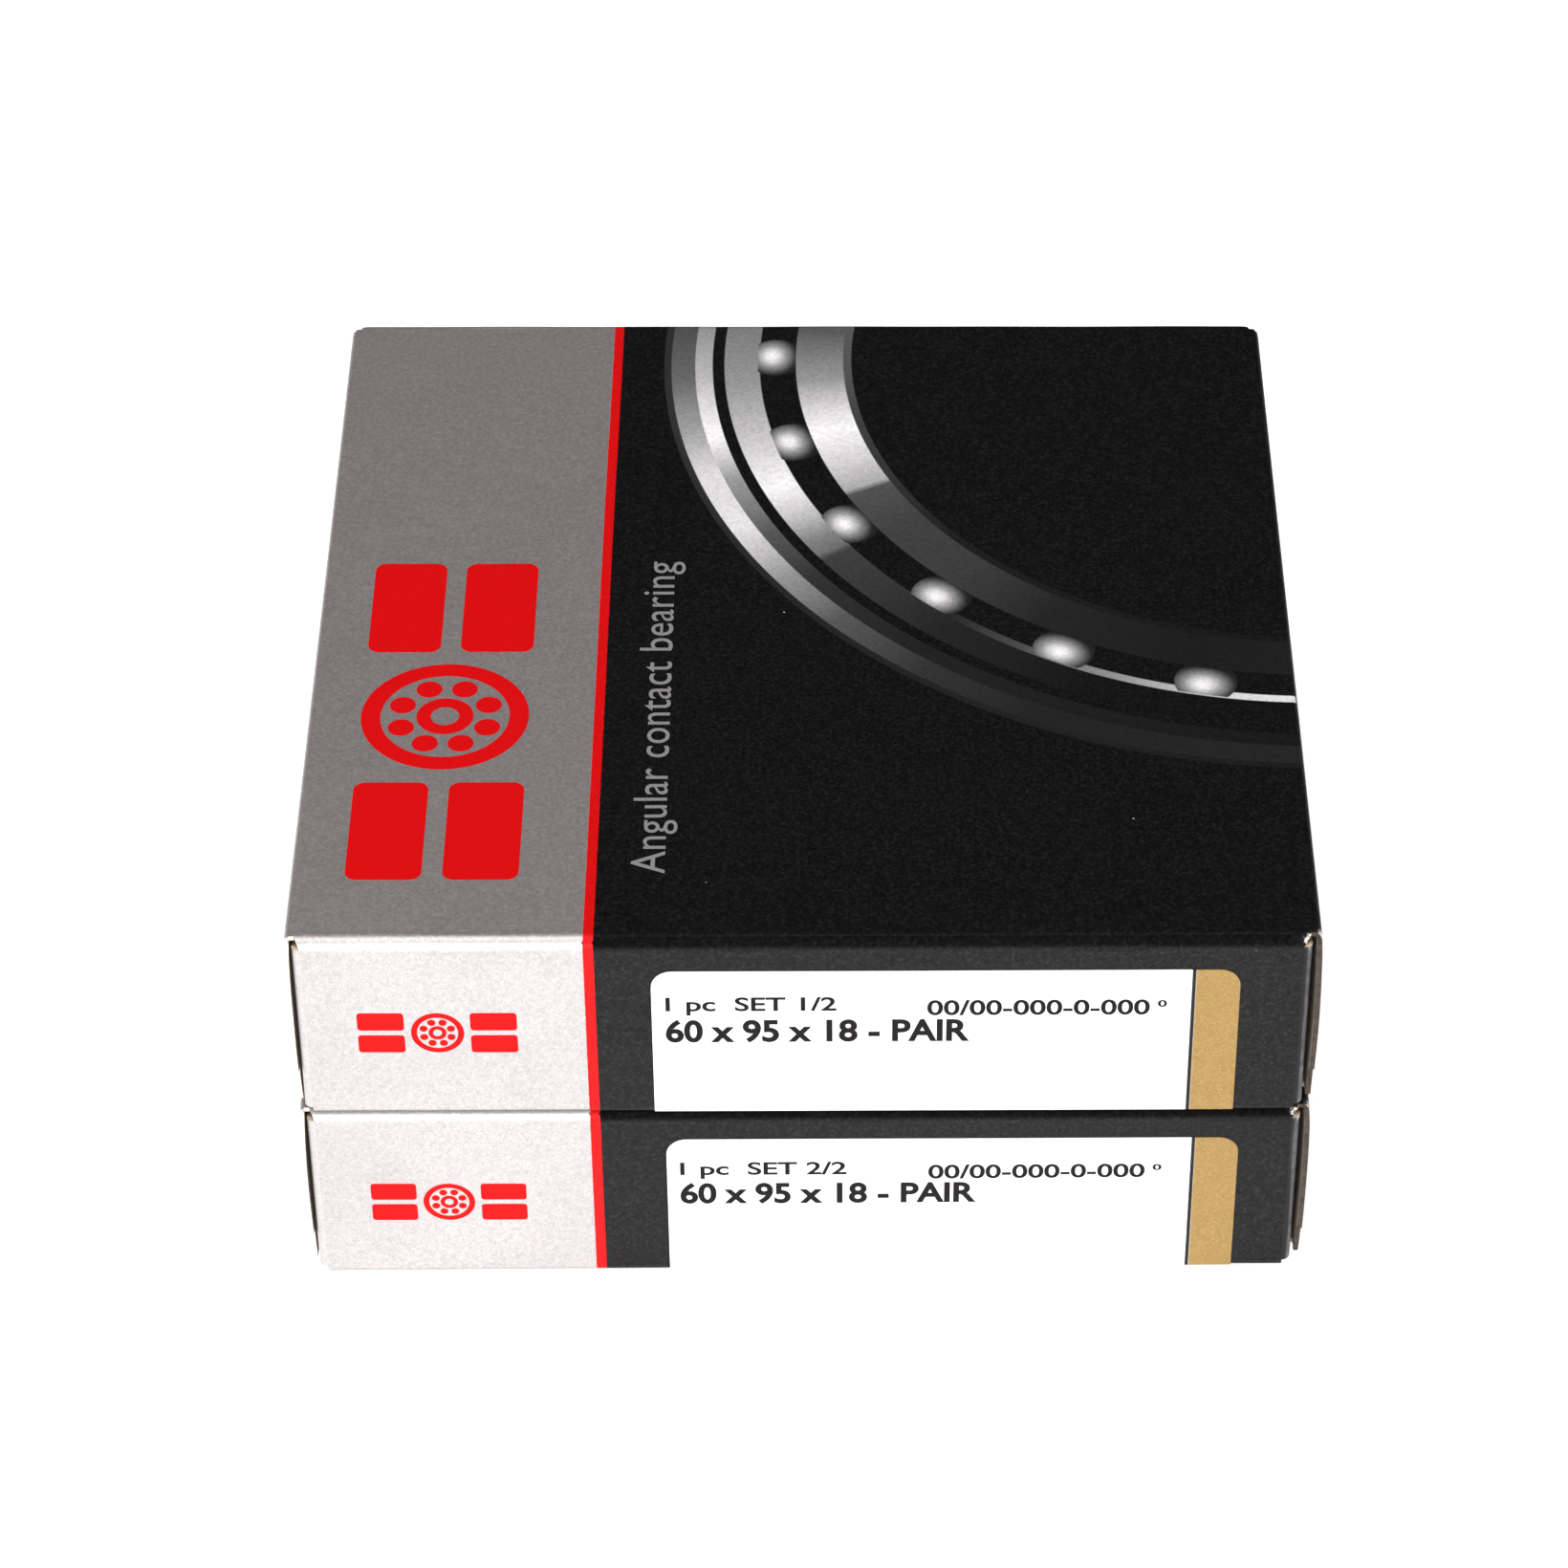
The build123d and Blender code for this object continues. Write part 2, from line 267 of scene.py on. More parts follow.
class Value:
    """An output socket; arithmetic on it adds math nodes to its graph."""

    def __init__(self, graph, socket):
        self.graph, self.socket = graph, socket

    __add__, __radd__ = math_operator("ADD"), math_operator("ADD", True)
    __sub__, __rsub__ = math_operator("SUBTRACT"), math_operator("SUBTRACT", True)
    __mul__, __rmul__ = math_operator("MULTIPLY"), math_operator("MULTIPLY", True)
    __mod__ = math_operator("MODULO")

    def __abs__(self):
        return self.graph.math("ABSOLUTE", self)

    def step(self, lo, hi, start, end, kind="SMOOTHSTEP"):
        """Goes from start to end as this value goes from lo to hi."""
        limits = {"From Min": lo, "From Max": hi, "To Min": start, "To Max": end}
        return self.graph.value("MapRange", {"Value": self, **limits}, interpolation_type=kind)

    def rise(self, lo, hi, to=1.0):
        return self.step(lo, hi, 0.0, to)

    def fall(self, lo, hi, start=1.0):
        return self.step(lo, hi, start, 0.0)

    def band(self, lo, hi, soft):
        """1 between lo and hi, with edges this soft."""
        return self.rise(lo - soft, lo + soft) * self.fall(hi - soft, hi + soft)


class Graph:
    """A material's nodes round one Principled shader, placed by object position in mm."""

    def __init__(self, name):
        self.material = bpy.data.materials.new(name)
        self.material.use_nodes = True
        self.tree = self.material.node_tree
        self.tree.nodes.clear()
        output = self.node("OutputMaterial")
        self.shader = self.node("BsdfPrincipled")
        self.put(output.inputs[0], Value(self, self.shader.outputs[0]))
        self.coords = self.node("TexCoord")
        metres = Value(self, self.coords.outputs["Object"])
        self.position = self.value("VectorMath", {0: metres, "Scale": 1000.0}, operation="SCALE")

    def put(self, socket, value):
        if isinstance(value, Value):
            self.tree.links.new(value.socket, socket)
        elif isinstance(value, tuple) and len(value) == 3:
            socket.default_value = (*value, 1.0)
        else:
            socket.default_value = value

    def node(self, kind, inputs={}, **settings):
        node = self.tree.nodes.new("ShaderNode" + kind)
        for key, setting in settings.items():
            setattr(node, key, setting)
        for key, value in inputs.items():
            self.put(node.inputs[key], value)
        return node

    def value(self, kind, inputs={}, output=0, **settings):
        return Value(self, self.node(kind, inputs, **settings).outputs[output])

    def split(self, vector):
        return [Value(self, out) for out in self.node("SeparateXYZ", {0: vector}).outputs]

    @cached_property
    def axes(self):
        return self.split(self.position)

    @cached_property
    def normal(self):
        return self.split(Value(self, self.coords.outputs["Normal"]))

    x = property(lambda self: self.axes[0])
    y = property(lambda self: self.axes[1])
    z = property(lambda self: self.axes[2])
    normal_y = property(lambda self: self.normal[1])
    normal_z = property(lambda self: self.normal[2])

    def math(self, kind, a, b=0.0):
        return self.value("Math", {0: a, 1: b, 2: 0.0}, operation=kind)

    def hypot(self, a, b):
        return self.math("SQRT", a * a + b * b)

    def mix(self, factor, a, b):
        """Colour a turning to b."""
        return self.value("Mix", {0: factor, 6: a, 7: b}, 2, data_type="RGBA", clamp_factor=True)

    def lerp(self, factor, a, b):
        """Number a turning to b."""
        return self.value("Mix", {0: factor, 2: a, 3: b}, data_type="FLOAT", clamp_factor=True)

    def coat(self, colour, *coats):
        """Lays (factor, colour) coats over a colour, one after another."""
        for factor, over in coats:
            colour = self.mix(factor, colour, over)
        return colour

    def curve(self, value, points, lo=-20.0, hi=100.0):
        """Straight lines through (value, result) points, for values between lo and hi."""
        position = value.step(lo, hi, 0.0, 1.0, "LINEAR")
        node = self.node("ValToRGB", {0: position})
        elements = node.color_ramp.elements
        while len(elements) < len(points):
            elements.new(0.5)
        for element, (place, result) in zip(elements, points):
            element.position = (place - lo) / (hi - lo)
            element.color = (result, result, result, 1.0)
        return Value(self, node.outputs[0])

    def noise(self, scale, detail=3.0, rough=0.55, at=None):
        return self.value("TexNoise", {"Vector": self.position if at is None else at,
                                       "Scale": scale, "Detail": detail, "Roughness": rough})

    def vector(self, x, y, z):
        return self.value("CombineXYZ", {0: x, 1: y, 2: z})

    def wear(self):
        return self.value("Attribute", output="Fac", attribute_name="wear")

    def bump(self, height, strength, distance):
        return self.value("Bump", {"Strength": strength, "Distance": distance, "Height": height})

    def finish(self, **inputs):
        """Sets inputs of the shader, underscores standing for spaces."""
        for name, value in inputs.items():
            self.put(self.shader.inputs[name.replace("_", " ")], value)
        return self.material


# ------------------------------------------------------------------ printed board
SILVER_DARK, SILVER_LIGHT = (0.455, 0.432, 0.430), (0.545, 0.520, 0.517)
TORN_COATING = (0.84, 0.80, 0.74)

# The picture's rings, by inner and outer radius, with the reflection along each one:
# (degrees turned down from the left, brightness)
RINGS = [
    (67.2, 68.0, [(-18, 0.02), (10, 0.028), (40, 0.016), (95, 0.010)]),
    (64.6, 67.2, [(-18, 0.04), (-6, 0.065), (3, 0.12), (11, 0.32), (18, 0.66), (26, 0.70),
                  (34, 0.27), (42, 0.085), (52, 0.030), (64, 0.015), (95, 0.017)]),
    (62.7, 64.6, [(-18, 0.12), (-6, 0.24), (3, 0.45), (12, 0.88), (19, 0.29), (28, 0.085),
                  (36, 0.027), (50, 0.014), (95, 0.008)]),
    (57.55, 61.4, [(-18, 0.12), (-6, 0.18), (4, 0.27), (13, 0.50), (22, 0.86), (31, 0.20),
                   (33.4, 0.14), (34.2, 0.045), (50, 0.016), (70, 0.006), (95, 0.005)]),
    (48.4, 53.6, [(-18, 0.05), (-6, 0.09), (4, 0.28), (14, 0.88), (25.5, 0.36), (26.3, 0.075),
                  (34, 0.048), (46, 0.040), (58, 0.016), (75, 0.011), (95, 0.013)]),
    (47.5, 48.4, [(-18, 0.10), (4, 0.075), (13, 0.045), (40, 0.012), (95, 0.008)]),
]
# A thin shoulder, lit only where the ring turns down
SHOULDER = (56.9, 57.9, [(46, 0.0), (58, 0.06), (70, 0.28), (82, 0.62), (95, 0.80)])
PICTURE_X, PICTURE_Y = 52.6, 44.2   # centre of the rings
PICTURE_SQUASH = 0.975              # the picture is slightly taller than wide
PICTURE_SOFT = 0.08                 # softness of ring edges
PICTURE_PITCH = 15.67               # degrees from ball to ball
PICTURE_TURN = 0.48                 # degrees the balls are turned by
PICTURE_BALLS_R = 55.75


def ring_picture(mat, grain):
    """Plain ring-and-balls picture, cropped by the panel edges: brightness and radius."""
    dx, dy = mat.x - PICTURE_X, mat.y - PICTURE_Y
    radius = mat.math("SQRT", dx * dx + (dy * PICTURE_SQUASH) * (dy * PICTURE_SQUASH))
    degrees = mat.math("ARCTAN2", dy * -PICTURE_SQUASH, dx * -1.0) * 57.2958
    speckle = 0.58 + (mat.noise(6.0, detail=2) * 0.20 + grain * 0.64)

    def lit_ring(inner, outer, reflection):
        return radius.band(inner, outer, PICTURE_SOFT) * mat.curve(degrees, reflection)

    rings = [lit_ring(*ring) for ring in RINGS]
    light = mat.math("MAXIMUM", sum(rings[1:], rings[0]), lit_ring(*SHOULDER))

    # balls between the rings, each wider than the gap it shows through;
    # whole pitches are added to keep the angle positive
    pitches = math.ceil(3600.0 / PICTURE_PITCH) * PICTURE_PITCH
    turned = degrees + (pitches + PICTURE_PITCH / 2 + PICTURE_TURN)
    phase = turned % PICTURE_PITCH - PICTURE_PITCH / 2
    along = (phase * 0.0174533) * radius
    out = radius - PICTURE_BALLS_R
    in_ball = mat.hypot(along, out).fall(3.15, 3.3) * radius.band(53.6, 57.75, PICTURE_SOFT)
    highlight = mat.hypot((along + 0.25) * 0.82, out - 0.45)
    ball = 0.014 + (highlight.fall(0.2, 2.95) * 0.50 + highlight.fall(0.0, 1.7) * 0.34)
    return mat.lerp(in_ball, light, ball) * speckle, radius


def print_material(carton):
    """Silver field, narrow red stripe and black field, from left to right, with wear, and with
    painted shade on the top face, along the foot of the panels and on the black bends.
    """
    mat = Graph("printed_board_" + carton)
    x, y, z = mat.x, mat.y, mat.z
    # the field edges waver, and lie further left on the front and top
    edge_x = x + (mat.noise(0.9, detail=2) - 0.5) * 0.10
    edge_x = edge_x + mat.normal_y.fall(-0.75, -0.6) * 0.22
    edge_x = edge_x + mat.normal_z.rise(0.5, 0.8) * y.step(10.0, 50.0, 0.20, 0.04)
    in_black = edge_x.rise(-19.98, -19.88)
    past_silver = edge_x.rise(-21.0, -20.9)

    mottle = mat.noise(2.6, detail=5, rough=0.62)
    fine = mat.noise(9.0, detail=2, rough=0.5)
    tint = mat.noise(1.5, detail=3, rough=0.6, at=mat.vector(x + 31.0, y + 17.0, z))
    medium = mat.noise(4.6, detail=2, rough=0.6)
    broad = mat.noise(0.085, detail=2, rough=0.5)
    fibre = mat.noise(2.4, detail=2, rough=0.65, at=mat.vector(x + 7.0, y + 53.0, z + 11.0))
    flat_top = mat.normal_z.rise(0.90, 0.985)

    # silver ink: mostly metal flake, so it goes bright towards a light and dull away from it
    smudge = mat.noise(0.42, detail=3, rough=0.65).rise(0.60, 0.74) * 0.22
    fibre_show = mat.lerp(flat_top, 0.42, 1.15)
    silver = mat.coat(
        mat.mix(mottle.rise(0.36, 0.66), SILVER_DARK, SILVER_LIGHT),
        (medium.rise(0.38, 0.66, to=0.80), (0.640, 0.612, 0.610)),
        (fine.fall(0.34, 0.60, start=0.50), (0.360, 0.340, 0.340)),
        (broad.rise(0.35, 0.7, to=0.35), (0.430, 0.409, 0.407)),
        (smudge, (0.33, 0.320, 0.316)),
        (tint.fall(0.36, 0.50, start=0.40), (0.425, 0.430, 0.430)),
        (tint.rise(0.52, 0.66, to=0.40), (0.570, 0.510, 0.495)),
        (fibre.fall(0.30, 0.50, start=0.26) * fibre_show, (0.20, 0.188, 0.188)),
        (fibre.rise(0.50, 0.70, to=0.34) * fibre_show, (0.80, 0.768, 0.768)),
        # painted shade: the silver on the top face is painted darker
        (flat_top * 0.45, (0.305, 0.240, 0.236)))
    red = mat.mix(mottle.rise(0.4, 0.7), (0.575, 0.0015, 0.002), (0.64, 0.004, 0.005))
    black = mat.coat(
        mat.mix(mottle.rise(0.38, 0.68), (0.0048, 0.0043, 0.0046), (0.0080, 0.0072, 0.0077)),
        (medium.rise(0.46, 0.70, to=0.8), (0.0190, 0.0178, 0.0186)),
        (broad.rise(0.35, 0.7, to=0.5), (0.0090, 0.0084, 0.0088)),
        (fibre.fall(0.28, 0.50, start=0.60), (0.0010, 0.0009, 0.0010)),
        (fibre.rise(0.50, 0.72, to=0.50), (0.0300, 0.0284, 0.0295)),
        # painted shade: the black on the top face is painted darker
        (flat_top * 0.38, (0.0012, 0.0011, 0.0012)))

    light, radius = ring_picture(mat, fibre)
    on_picture = mat.normal_z.rise(0.72, 0.85) * radius.rise(47.0, 47.4)
    picture = mat.mix(light, (0.0, 0.0, 0.0), (1.0, 0.975, 0.99))
    black = mat.mix(on_picture * light.rise(0.002, 0.012), black, picture)
    lit_ink = (on_picture * in_black) * light.rise(0.004, 0.03)

    # painted shade: darker along the foot of the front and back panels, where the cartons meet
    # and where the lower one stands
    above = z - BASE_Z[carton]
    if carton == "upper":
        seam_shade = above.fall(-0.05, 0.50, start=0.95)
    else:
        seam_shade = above.fall(0.10, 0.60, start=0.60)
    seam_shade = seam_shade * abs(mat.normal_y).rise(0.1, 0.4)

    # ink cracked off along folds, coating torn at corners
    worn = mat.wear() * 0.52 + (mat.noise(3.2, detail=6, rough=0.72) * 0.55
                                + mat.noise(0.55, detail=2, rough=0.5) * 0.16)
    scuff = worn.rise(0.80, 0.90)
    rubbed = mat.mix(in_black, (0.62, 0.60, 0.58), (0.16, 0.155, 0.155))
    dust = (mat.value("TexVoronoi", {"Vector": mat.position, "Scale": 0.26}, "Distance")
            .fall(0.018, 0.030) * mat.noise(0.33, detail=1).rise(0.55, 0.60))
    # black ink is made matt where the board bends between the top and the front or back, and its
    # colour there is painted darker as painted shade
    bent = ((mat.normal_z.rise(0.02, 0.50) * mat.normal_z.fall(0.90, 0.985))
            * (in_black * abs(mat.normal_y).rise(0.12, 0.3)))
    bent = bent * (1.0 - scuff)
    colour = mat.coat(
        silver,
        (past_silver, red),
        (in_black, black),
        # painted shade along the foot of the panels
        (seam_shade, (0.010, 0.009, 0.009)),
        (worn.rise(0.62, 0.95, to=0.22), rubbed),
        (scuff, TORN_COATING),
        (dust * 0.75, (0.7, 0.69, 0.66)),
        # painted shade: the black bends painted darker
        (bent * 0.6, (0.0020, 0.0018, 0.0019)))

    # faint handling streaks, long in x
    streak = mat.noise(0.6, detail=4, rough=0.7, at=mat.vector(x * 0.35, y * 2.2, z * 2.2))
    rough = mat.lerp(in_black, 0.47, 0.44) + ((mottle - 0.5) * 0.10
                                              + streak.rise(0.55, 0.8) * 0.08)
    rough = mat.math("MAXIMUM", rough, scuff * 0.85)
    flake = ((1.0 - past_silver) * (1.0 - scuff)) * (1.0 - lit_ink)
    height = fine * 0.5 + (mat.noise(1.2, detail=4, rough=0.6) * 0.8 + scuff * -0.9)
    gloss = mat.lerp(flat_top * in_black, mat.lerp(bent, 0.25, 0.02), 0.11)
    return mat.finish(
        Base_Color=colour,
        Roughness=mat.lerp(bent, rough, 0.74),
        Normal=mat.bump(height, strength=0.22, distance=0.00006),
        Metallic=flake * 0.76,
        Specular_IOR_Level=mat.lerp(past_silver, gloss, gloss * 0.5))


def raw_material(name, light, dark, cut=False):
    """Bare board; on a cut edge it is rougher and its fibres lie in layers."""
    rough, relief, layering = (0.9, 0.9, 3.0) if cut else (0.85, 0.5, 0.6)
    mat = Graph(name)
    blotch = mat.noise(1.7, detail=6, rough=0.7)
    fine = mat.noise(9.0, detail=3, rough=0.6)
    fibre = mat.noise(2.2, detail=5, rough=0.6,
                      at=mat.vector(mat.x * 0.3, mat.y * 0.3, mat.z * layering))
    colour = mat.coat(
        mat.mix(blotch.rise(0.36, 0.68), light, dark),
        (fine.rise(0.55, 0.78, to=0.5), tuple(min(1, c * 1.18) for c in light)),
        (fibre.rise(0.5, 0.75, to=0.35), tuple(c * 0.8 for c in dark)))
    return mat.finish(
        Base_Color=colour,
        Roughness=rough + (blotch - 0.5) * 0.15,
        Normal=mat.bump(fine * 0.7 + fibre * 0.8, strength=relief, distance=0.0001),
        Specular_IOR_Level=0.2)


def flap_material():
    """Dust flaps: printed where the print bleeds past the crease, plain coated board beyond."""
    mat = Graph("dust_flap_board")
    mottle = mat.noise(2.6, detail=5, rough=0.62)
    medium = mat.noise(4.6, detail=2, rough=0.6)
    off_centre = abs(mat.y)
    bleed = (off_centre + (mat.noise(1.5, detail=2) - 0.5) * 0.3).rise(46.9, 47.0)
    right = mat.x.rise(-1.0, 1.0)
    silver = mat.mix(mottle.rise(0.36, 0.66), SILVER_DARK, SILVER_LIGHT)
    silver = mat.mix(medium.rise(0.34, 0.68, to=0.55), silver, (0.625, 0.596, 0.596))
    black = mat.mix(mottle.rise(0.38, 0.68), (0.0066, 0.0060, 0.0064), (0.0105, 0.0096, 0.0102))
    plain = mat.mix(mottle.rise(0.36, 0.68), (0.500, 0.476, 0.430), (0.430, 0.407, 0.362))
    # painted highlight: the black ink is painted paler, in patches, in a band where the board
    # turns the corner
    inward = (50.41 + mat.z.rise(0.0, HEIGHT, to=0.53)) - off_centre
    patchy = mat.noise(1.1, detail=4, rough=0.6).step(0.35, 0.6, 0.45, 0.9)
    crease_highlight = (inward.rise(0.02, 0.16) * inward.fall(0.42, 0.62)) * (right * patchy)
    worn = mat.wear() * 0.50 + (mat.noise(3.2, detail=6, rough=0.72) * 0.55
                                + mat.noise(0.55, detail=2) * 0.16)
    colour = mat.coat(
        plain,
        (bleed, mat.mix(right, silver, black)),
        # painted highlight along the corner fold of the right flaps
        (crease_highlight, (0.100, 0.098, 0.104)),
        # rubbed ink along the folds: wear, and on the right flaps also a painted highlight along
        # the fold
        (worn.rise(0.60, 0.95, to=0.45),
         mat.mix(right, (0.62, 0.60, 0.58), (0.26, 0.25, 0.245))),
        (worn.rise(0.80, 0.90), TORN_COATING))
    height = mat.noise(9.0, detail=2) + mat.noise(1.2, detail=4, rough=0.6)
    return mat.finish(
        Base_Color=colour,
        Roughness=mat.lerp(bleed, 0.62, 0.44),
        Normal=mat.bump(height, strength=0.22, distance=0.00006),
        Metallic=(bleed * (1.0 - right)) * worn.fall(0.80, 0.90, start=0.76),
        Specular_IOR_Level=0.20)


def label_material(carton):
    """White paper with a dark line and a tan band along its right end."""
    mat = Graph("label_paper_" + carton)
    right_end = LABEL_X[carton][1]
    paper = mat.mix(mat.noise(3.0, detail=5, rough=0.6).rise(0.35, 0.68),
                    (0.86, 0.855, 0.84), (0.80, 0.79, 0.775))
    shifted = mat.vector(mat.x + 19.0, mat.y, mat.z)
    grain = mat.noise(3.4, detail=2, rough=0.65)
    tan = mat.coat(
        mat.mix(mat.noise(5.0, detail=4, rough=0.7).rise(0.36, 0.66),
                (0.256, 0.156, 0.046), (0.315, 0.200, 0.066)),
        (mat.noise(1.6, detail=3, rough=0.6).rise(0.42, 0.66, to=0.35), (0.335, 0.178, 0.072)),
        (mat.noise(1.2, detail=3, rough=0.6, at=shifted).rise(0.46, 0.64, to=0.40),
         (0.275, 0.200, 0.058)),
        (grain.fall(0.30, 0.50, start=0.30), (0.195, 0.112, 0.034)),
        (grain.rise(0.50, 0.70, to=0.30), (0.450, 0.295, 0.112)))
    edge_x = mat.x + (mat.noise(2.0, detail=2) - 0.5) * 0.04
    in_band = edge_x.rise(right_end - 4.30, right_end - 4.26)
    line = edge_x.band(right_end - 4.68, right_end - 4.30, soft=0.03)
    worn = mat.wear() * 0.45 + mat.noise(4.0, detail=5, rough=0.7) * 0.6
    colour = mat.coat(
        paper,
        (in_band, tan),
        (line, (0.010, 0.007, 0.007)),
        (worn.rise(0.74, 0.92, to=0.5), (0.55, 0.52, 0.48)))
    height = mat.noise(12.0, detail=2) + mat.noise(2.0, detail=4) * 0.7
    return mat.finish(
        Base_Color=colour,
        Roughness=mat.lerp(in_band, 0.62, 0.5),
        Normal=mat.bump(height, strength=0.18, distance=0.00005),
        Specular_IOR_Level=0.22)


def ink_material(name, base, rough, vary, gloss=0.2):
    mat = Graph(name)
    mottle = mat.noise(6.0, detail=4, rough=0.7)
    lighter = tuple(min(1.0, c * (1 + vary) + 0.002) for c in base)
    return mat.finish(
        Base_Color=mat.mix(mottle.rise(0.35, 0.7), base, lighter),
        Roughness=rough + (mottle - 0.5) * 0.12,
        Normal=mat.bump(mat.noise(9.0, detail=2), strength=0.15, distance=0.00005),
        Specular_IOR_Level=gloss)


PRINTED = {carton: print_material(carton) for carton in CARTONS}
INSIDE = raw_material("board_inside", (0.350, 0.305, 0.250), (0.255, 0.215, 0.170))
EDGE = raw_material("board_cut_edge", (0.62, 0.50, 0.37), (0.44, 0.34, 0.24), cut=True)
PALE_EDGE = raw_material("board_pale_edge", (0.80, 0.76, 0.69), (0.66, 0.59, 0.49), cut=True)
DARK_EDGE = raw_material("board_inked_edge", (0.080, 0.060, 0.048), (0.032, 0.024, 0.020),
                          cut=True)
FLAP_BOARD = flap_material()
LABEL_STOCK = {carton: label_material(carton) for carton in CARTONS}
LABEL_INK = ink_material("label_ink", (0.007, 0.0055, 0.006), rough=0.58, vary=0.5, gloss=0.08)
RED_INK = ink_material("red_ink", (0.585, 0.0018, 0.0025), rough=0.46, vary=0.10, gloss=0.08)
GREY_INK = ink_material("grey_ink", (0.205, 0.195, 0.195), rough=0.48, vary=0.25)


# ------------------------------------------------------------------ carton tube
def tube_section():
    """Points round the tube's section, as rows (y, z, normal y, normal z, kind).
    Kinds: 0 front, 1 top, 2 back, 3 bottom, and the half after each is the fold that
    follows it."""
    rows = []

    def panel(start, end, count, normal, kind):
        # points lie closer together towards both ends
        for i in range(count):
            u = 0.5 - 0.5 * math.cos(math.pi * i / count)
            rows.append((start[0] + (end[0] - start[0]) * u,
                         start[1] + (end[1] - start[1]) * u, *normal, kind))

    def fold(y, z, start, count, kind, radius):
        for i in range(count):
            ny, nz = direction(start - 90 * i / count)
            rows.append((y + radius * ny, z + radius * nz, ny, nz, kind))

    low_y, front_y, back_y = (HALF_DEPTH - r for r in (LOW_FOLD_R, FRONT_FOLD_R, BACK_FOLD_R))
    front_z, back_z = HEIGHT - FRONT_FOLD_R, HEIGHT - BACK_FOLD_R
    panel((-HALF_DEPTH, LOW_FOLD_R), (-HALF_DEPTH, front_z), 26, (-1, 0), 0)
    fold(-front_y, front_z, 180, 12, 0.5, FRONT_FOLD_R)
    panel((-front_y, HEIGHT), (back_y, HEIGHT), 64, (0, 1), 1)
    fold(back_y, back_z, 90, 12, 1.5, BACK_FOLD_R)
    panel((HALF_DEPTH, back_z), (HALF_DEPTH, LOW_FOLD_R), 26, (1, 0), 2)
    fold(low_y, LOW_FOLD_R, 0, 9, 2.5, LOW_FOLD_R)
    panel((low_y, 0), (-low_y, 0), 40, (0, -1), 3)
    fold(-low_y, LOW_FOLD_R, -90, 9, 3.5, LOW_FOLD_R)
    return np.array(rows)


def tube_end(section, side):
    """Distance from the middle to the tube's end, for each point of the section."""
    y, kind = section[:, 0], section[:, 4]
    panel_end = SIDE_END_X[side]
    end = np.full(len(y), panel_end)
    end[kind == 1] = TOP_END_X
    t = np.clip((49.6 - np.abs(y)) / 1.4, 0, 1)
    end = np.where(kind == 3, panel_end + (BOTTOM_END_X - panel_end) * t * t * (3 - 2 * t), end)
    for fold, start, stop in ((0.5, panel_end, TOP_END_X), (1.5, TOP_END_X, panel_end)):
        rows = np.where(kind == fold)[0]
        u = np.arange(len(rows)) / len(rows)
        end[rows] = start + (stop - start) * (u * u * (3 - 2 * u))
    return end


def fold_distance(y, z):
    """Distance from the nearest long fold line."""
    distance = np.full(np.shape(y), 1e9)
    for fold_y in (-HALF_DEPTH + 0.3, HALF_DEPTH - 0.3):
        for fold_z in (0.3, HEIGHT - 0.36):
            distance = np.minimum(distance, np.hypot(y - fold_y, z - fold_z))
    return distance


def tube(carton):
    """The four panels round the bearing, from end to end."""
    section = tube_section()
    stations = 93
    v = np.linspace(-1, 1, stations)
    v = np.sin(v * np.pi / 2) * 0.35 + v * 0.65
    x = np.where(v > 0, tube_end(section, 1)[:, None], tube_end(section, -1)[:, None]) * v
    y, z, ny, nz, kind = (np.repeat(column[:, None], stations, 1) for column in section.T)
    off = np.where(kind == 0, swell(x, z, carton), 0)
    off = off + np.where(kind == 2, swell(x, z, carton, True), 0)
    off -= np.where(kind == 1, sink(x, y, carton), 0)
    off -= np.where(kind == 3, 0.04 * np.clip(1 - (np.abs(y) / 49.6) ** 3, 0, 1), 0)
    # shallow scored line either side of every fold
    to_fold = fold_distance(y, z)
    off -= 0.012 * near(to_fold - 1.5, 0.30)
    # folds are not perfectly even along their length
    fold = kind % 1 == 0.5
    off += np.where(fold, 0.03 * ripple(x * 2.3, 3.0, 0.4 if carton == "upper" else 1.1), 0)
    off = np.where(kind >= 2.5, np.minimum(off, 0.0), off)
    off = np.where(fold & (kind < 2), np.minimum(off, 0.02), off)
    grid = np.stack([x, y + ny * off, z + nz * off + BASE_Z[carton]], -1)
    normals = np.stack([np.zeros_like(x), ny, nz], -1)
    # wear grows at folds and most at the corners
    wear = near(to_fold, 0.75) * np.where(x < -20, 0.36, 0.20) + 0.10 * near(to_fold, 2.2)
    corner = near(np.hypot(np.minimum(to_fold, 9), np.abs(x) - 48.9), 1.2)
    wear = wear + corner * np.where(x > 0, 0.92, 0.30) * np.where(y > 0, 0.35, 1.0)
    wear = np.clip(wear * np.where(kind >= 2.5, 0.30, 1.0), 0, 1)
    return sheet(carton + "_carton_tube", grid, normals, [PRINTED[carton], INSIDE, EDGE],
                 wear, closed=True, cut=0.02)


# ------------------------------------------------------------------ folded end pieces
ALONG_Y, ALONG_Z = [0, 2, 1], [0, 1, 2]     # which axis a strip's width takes


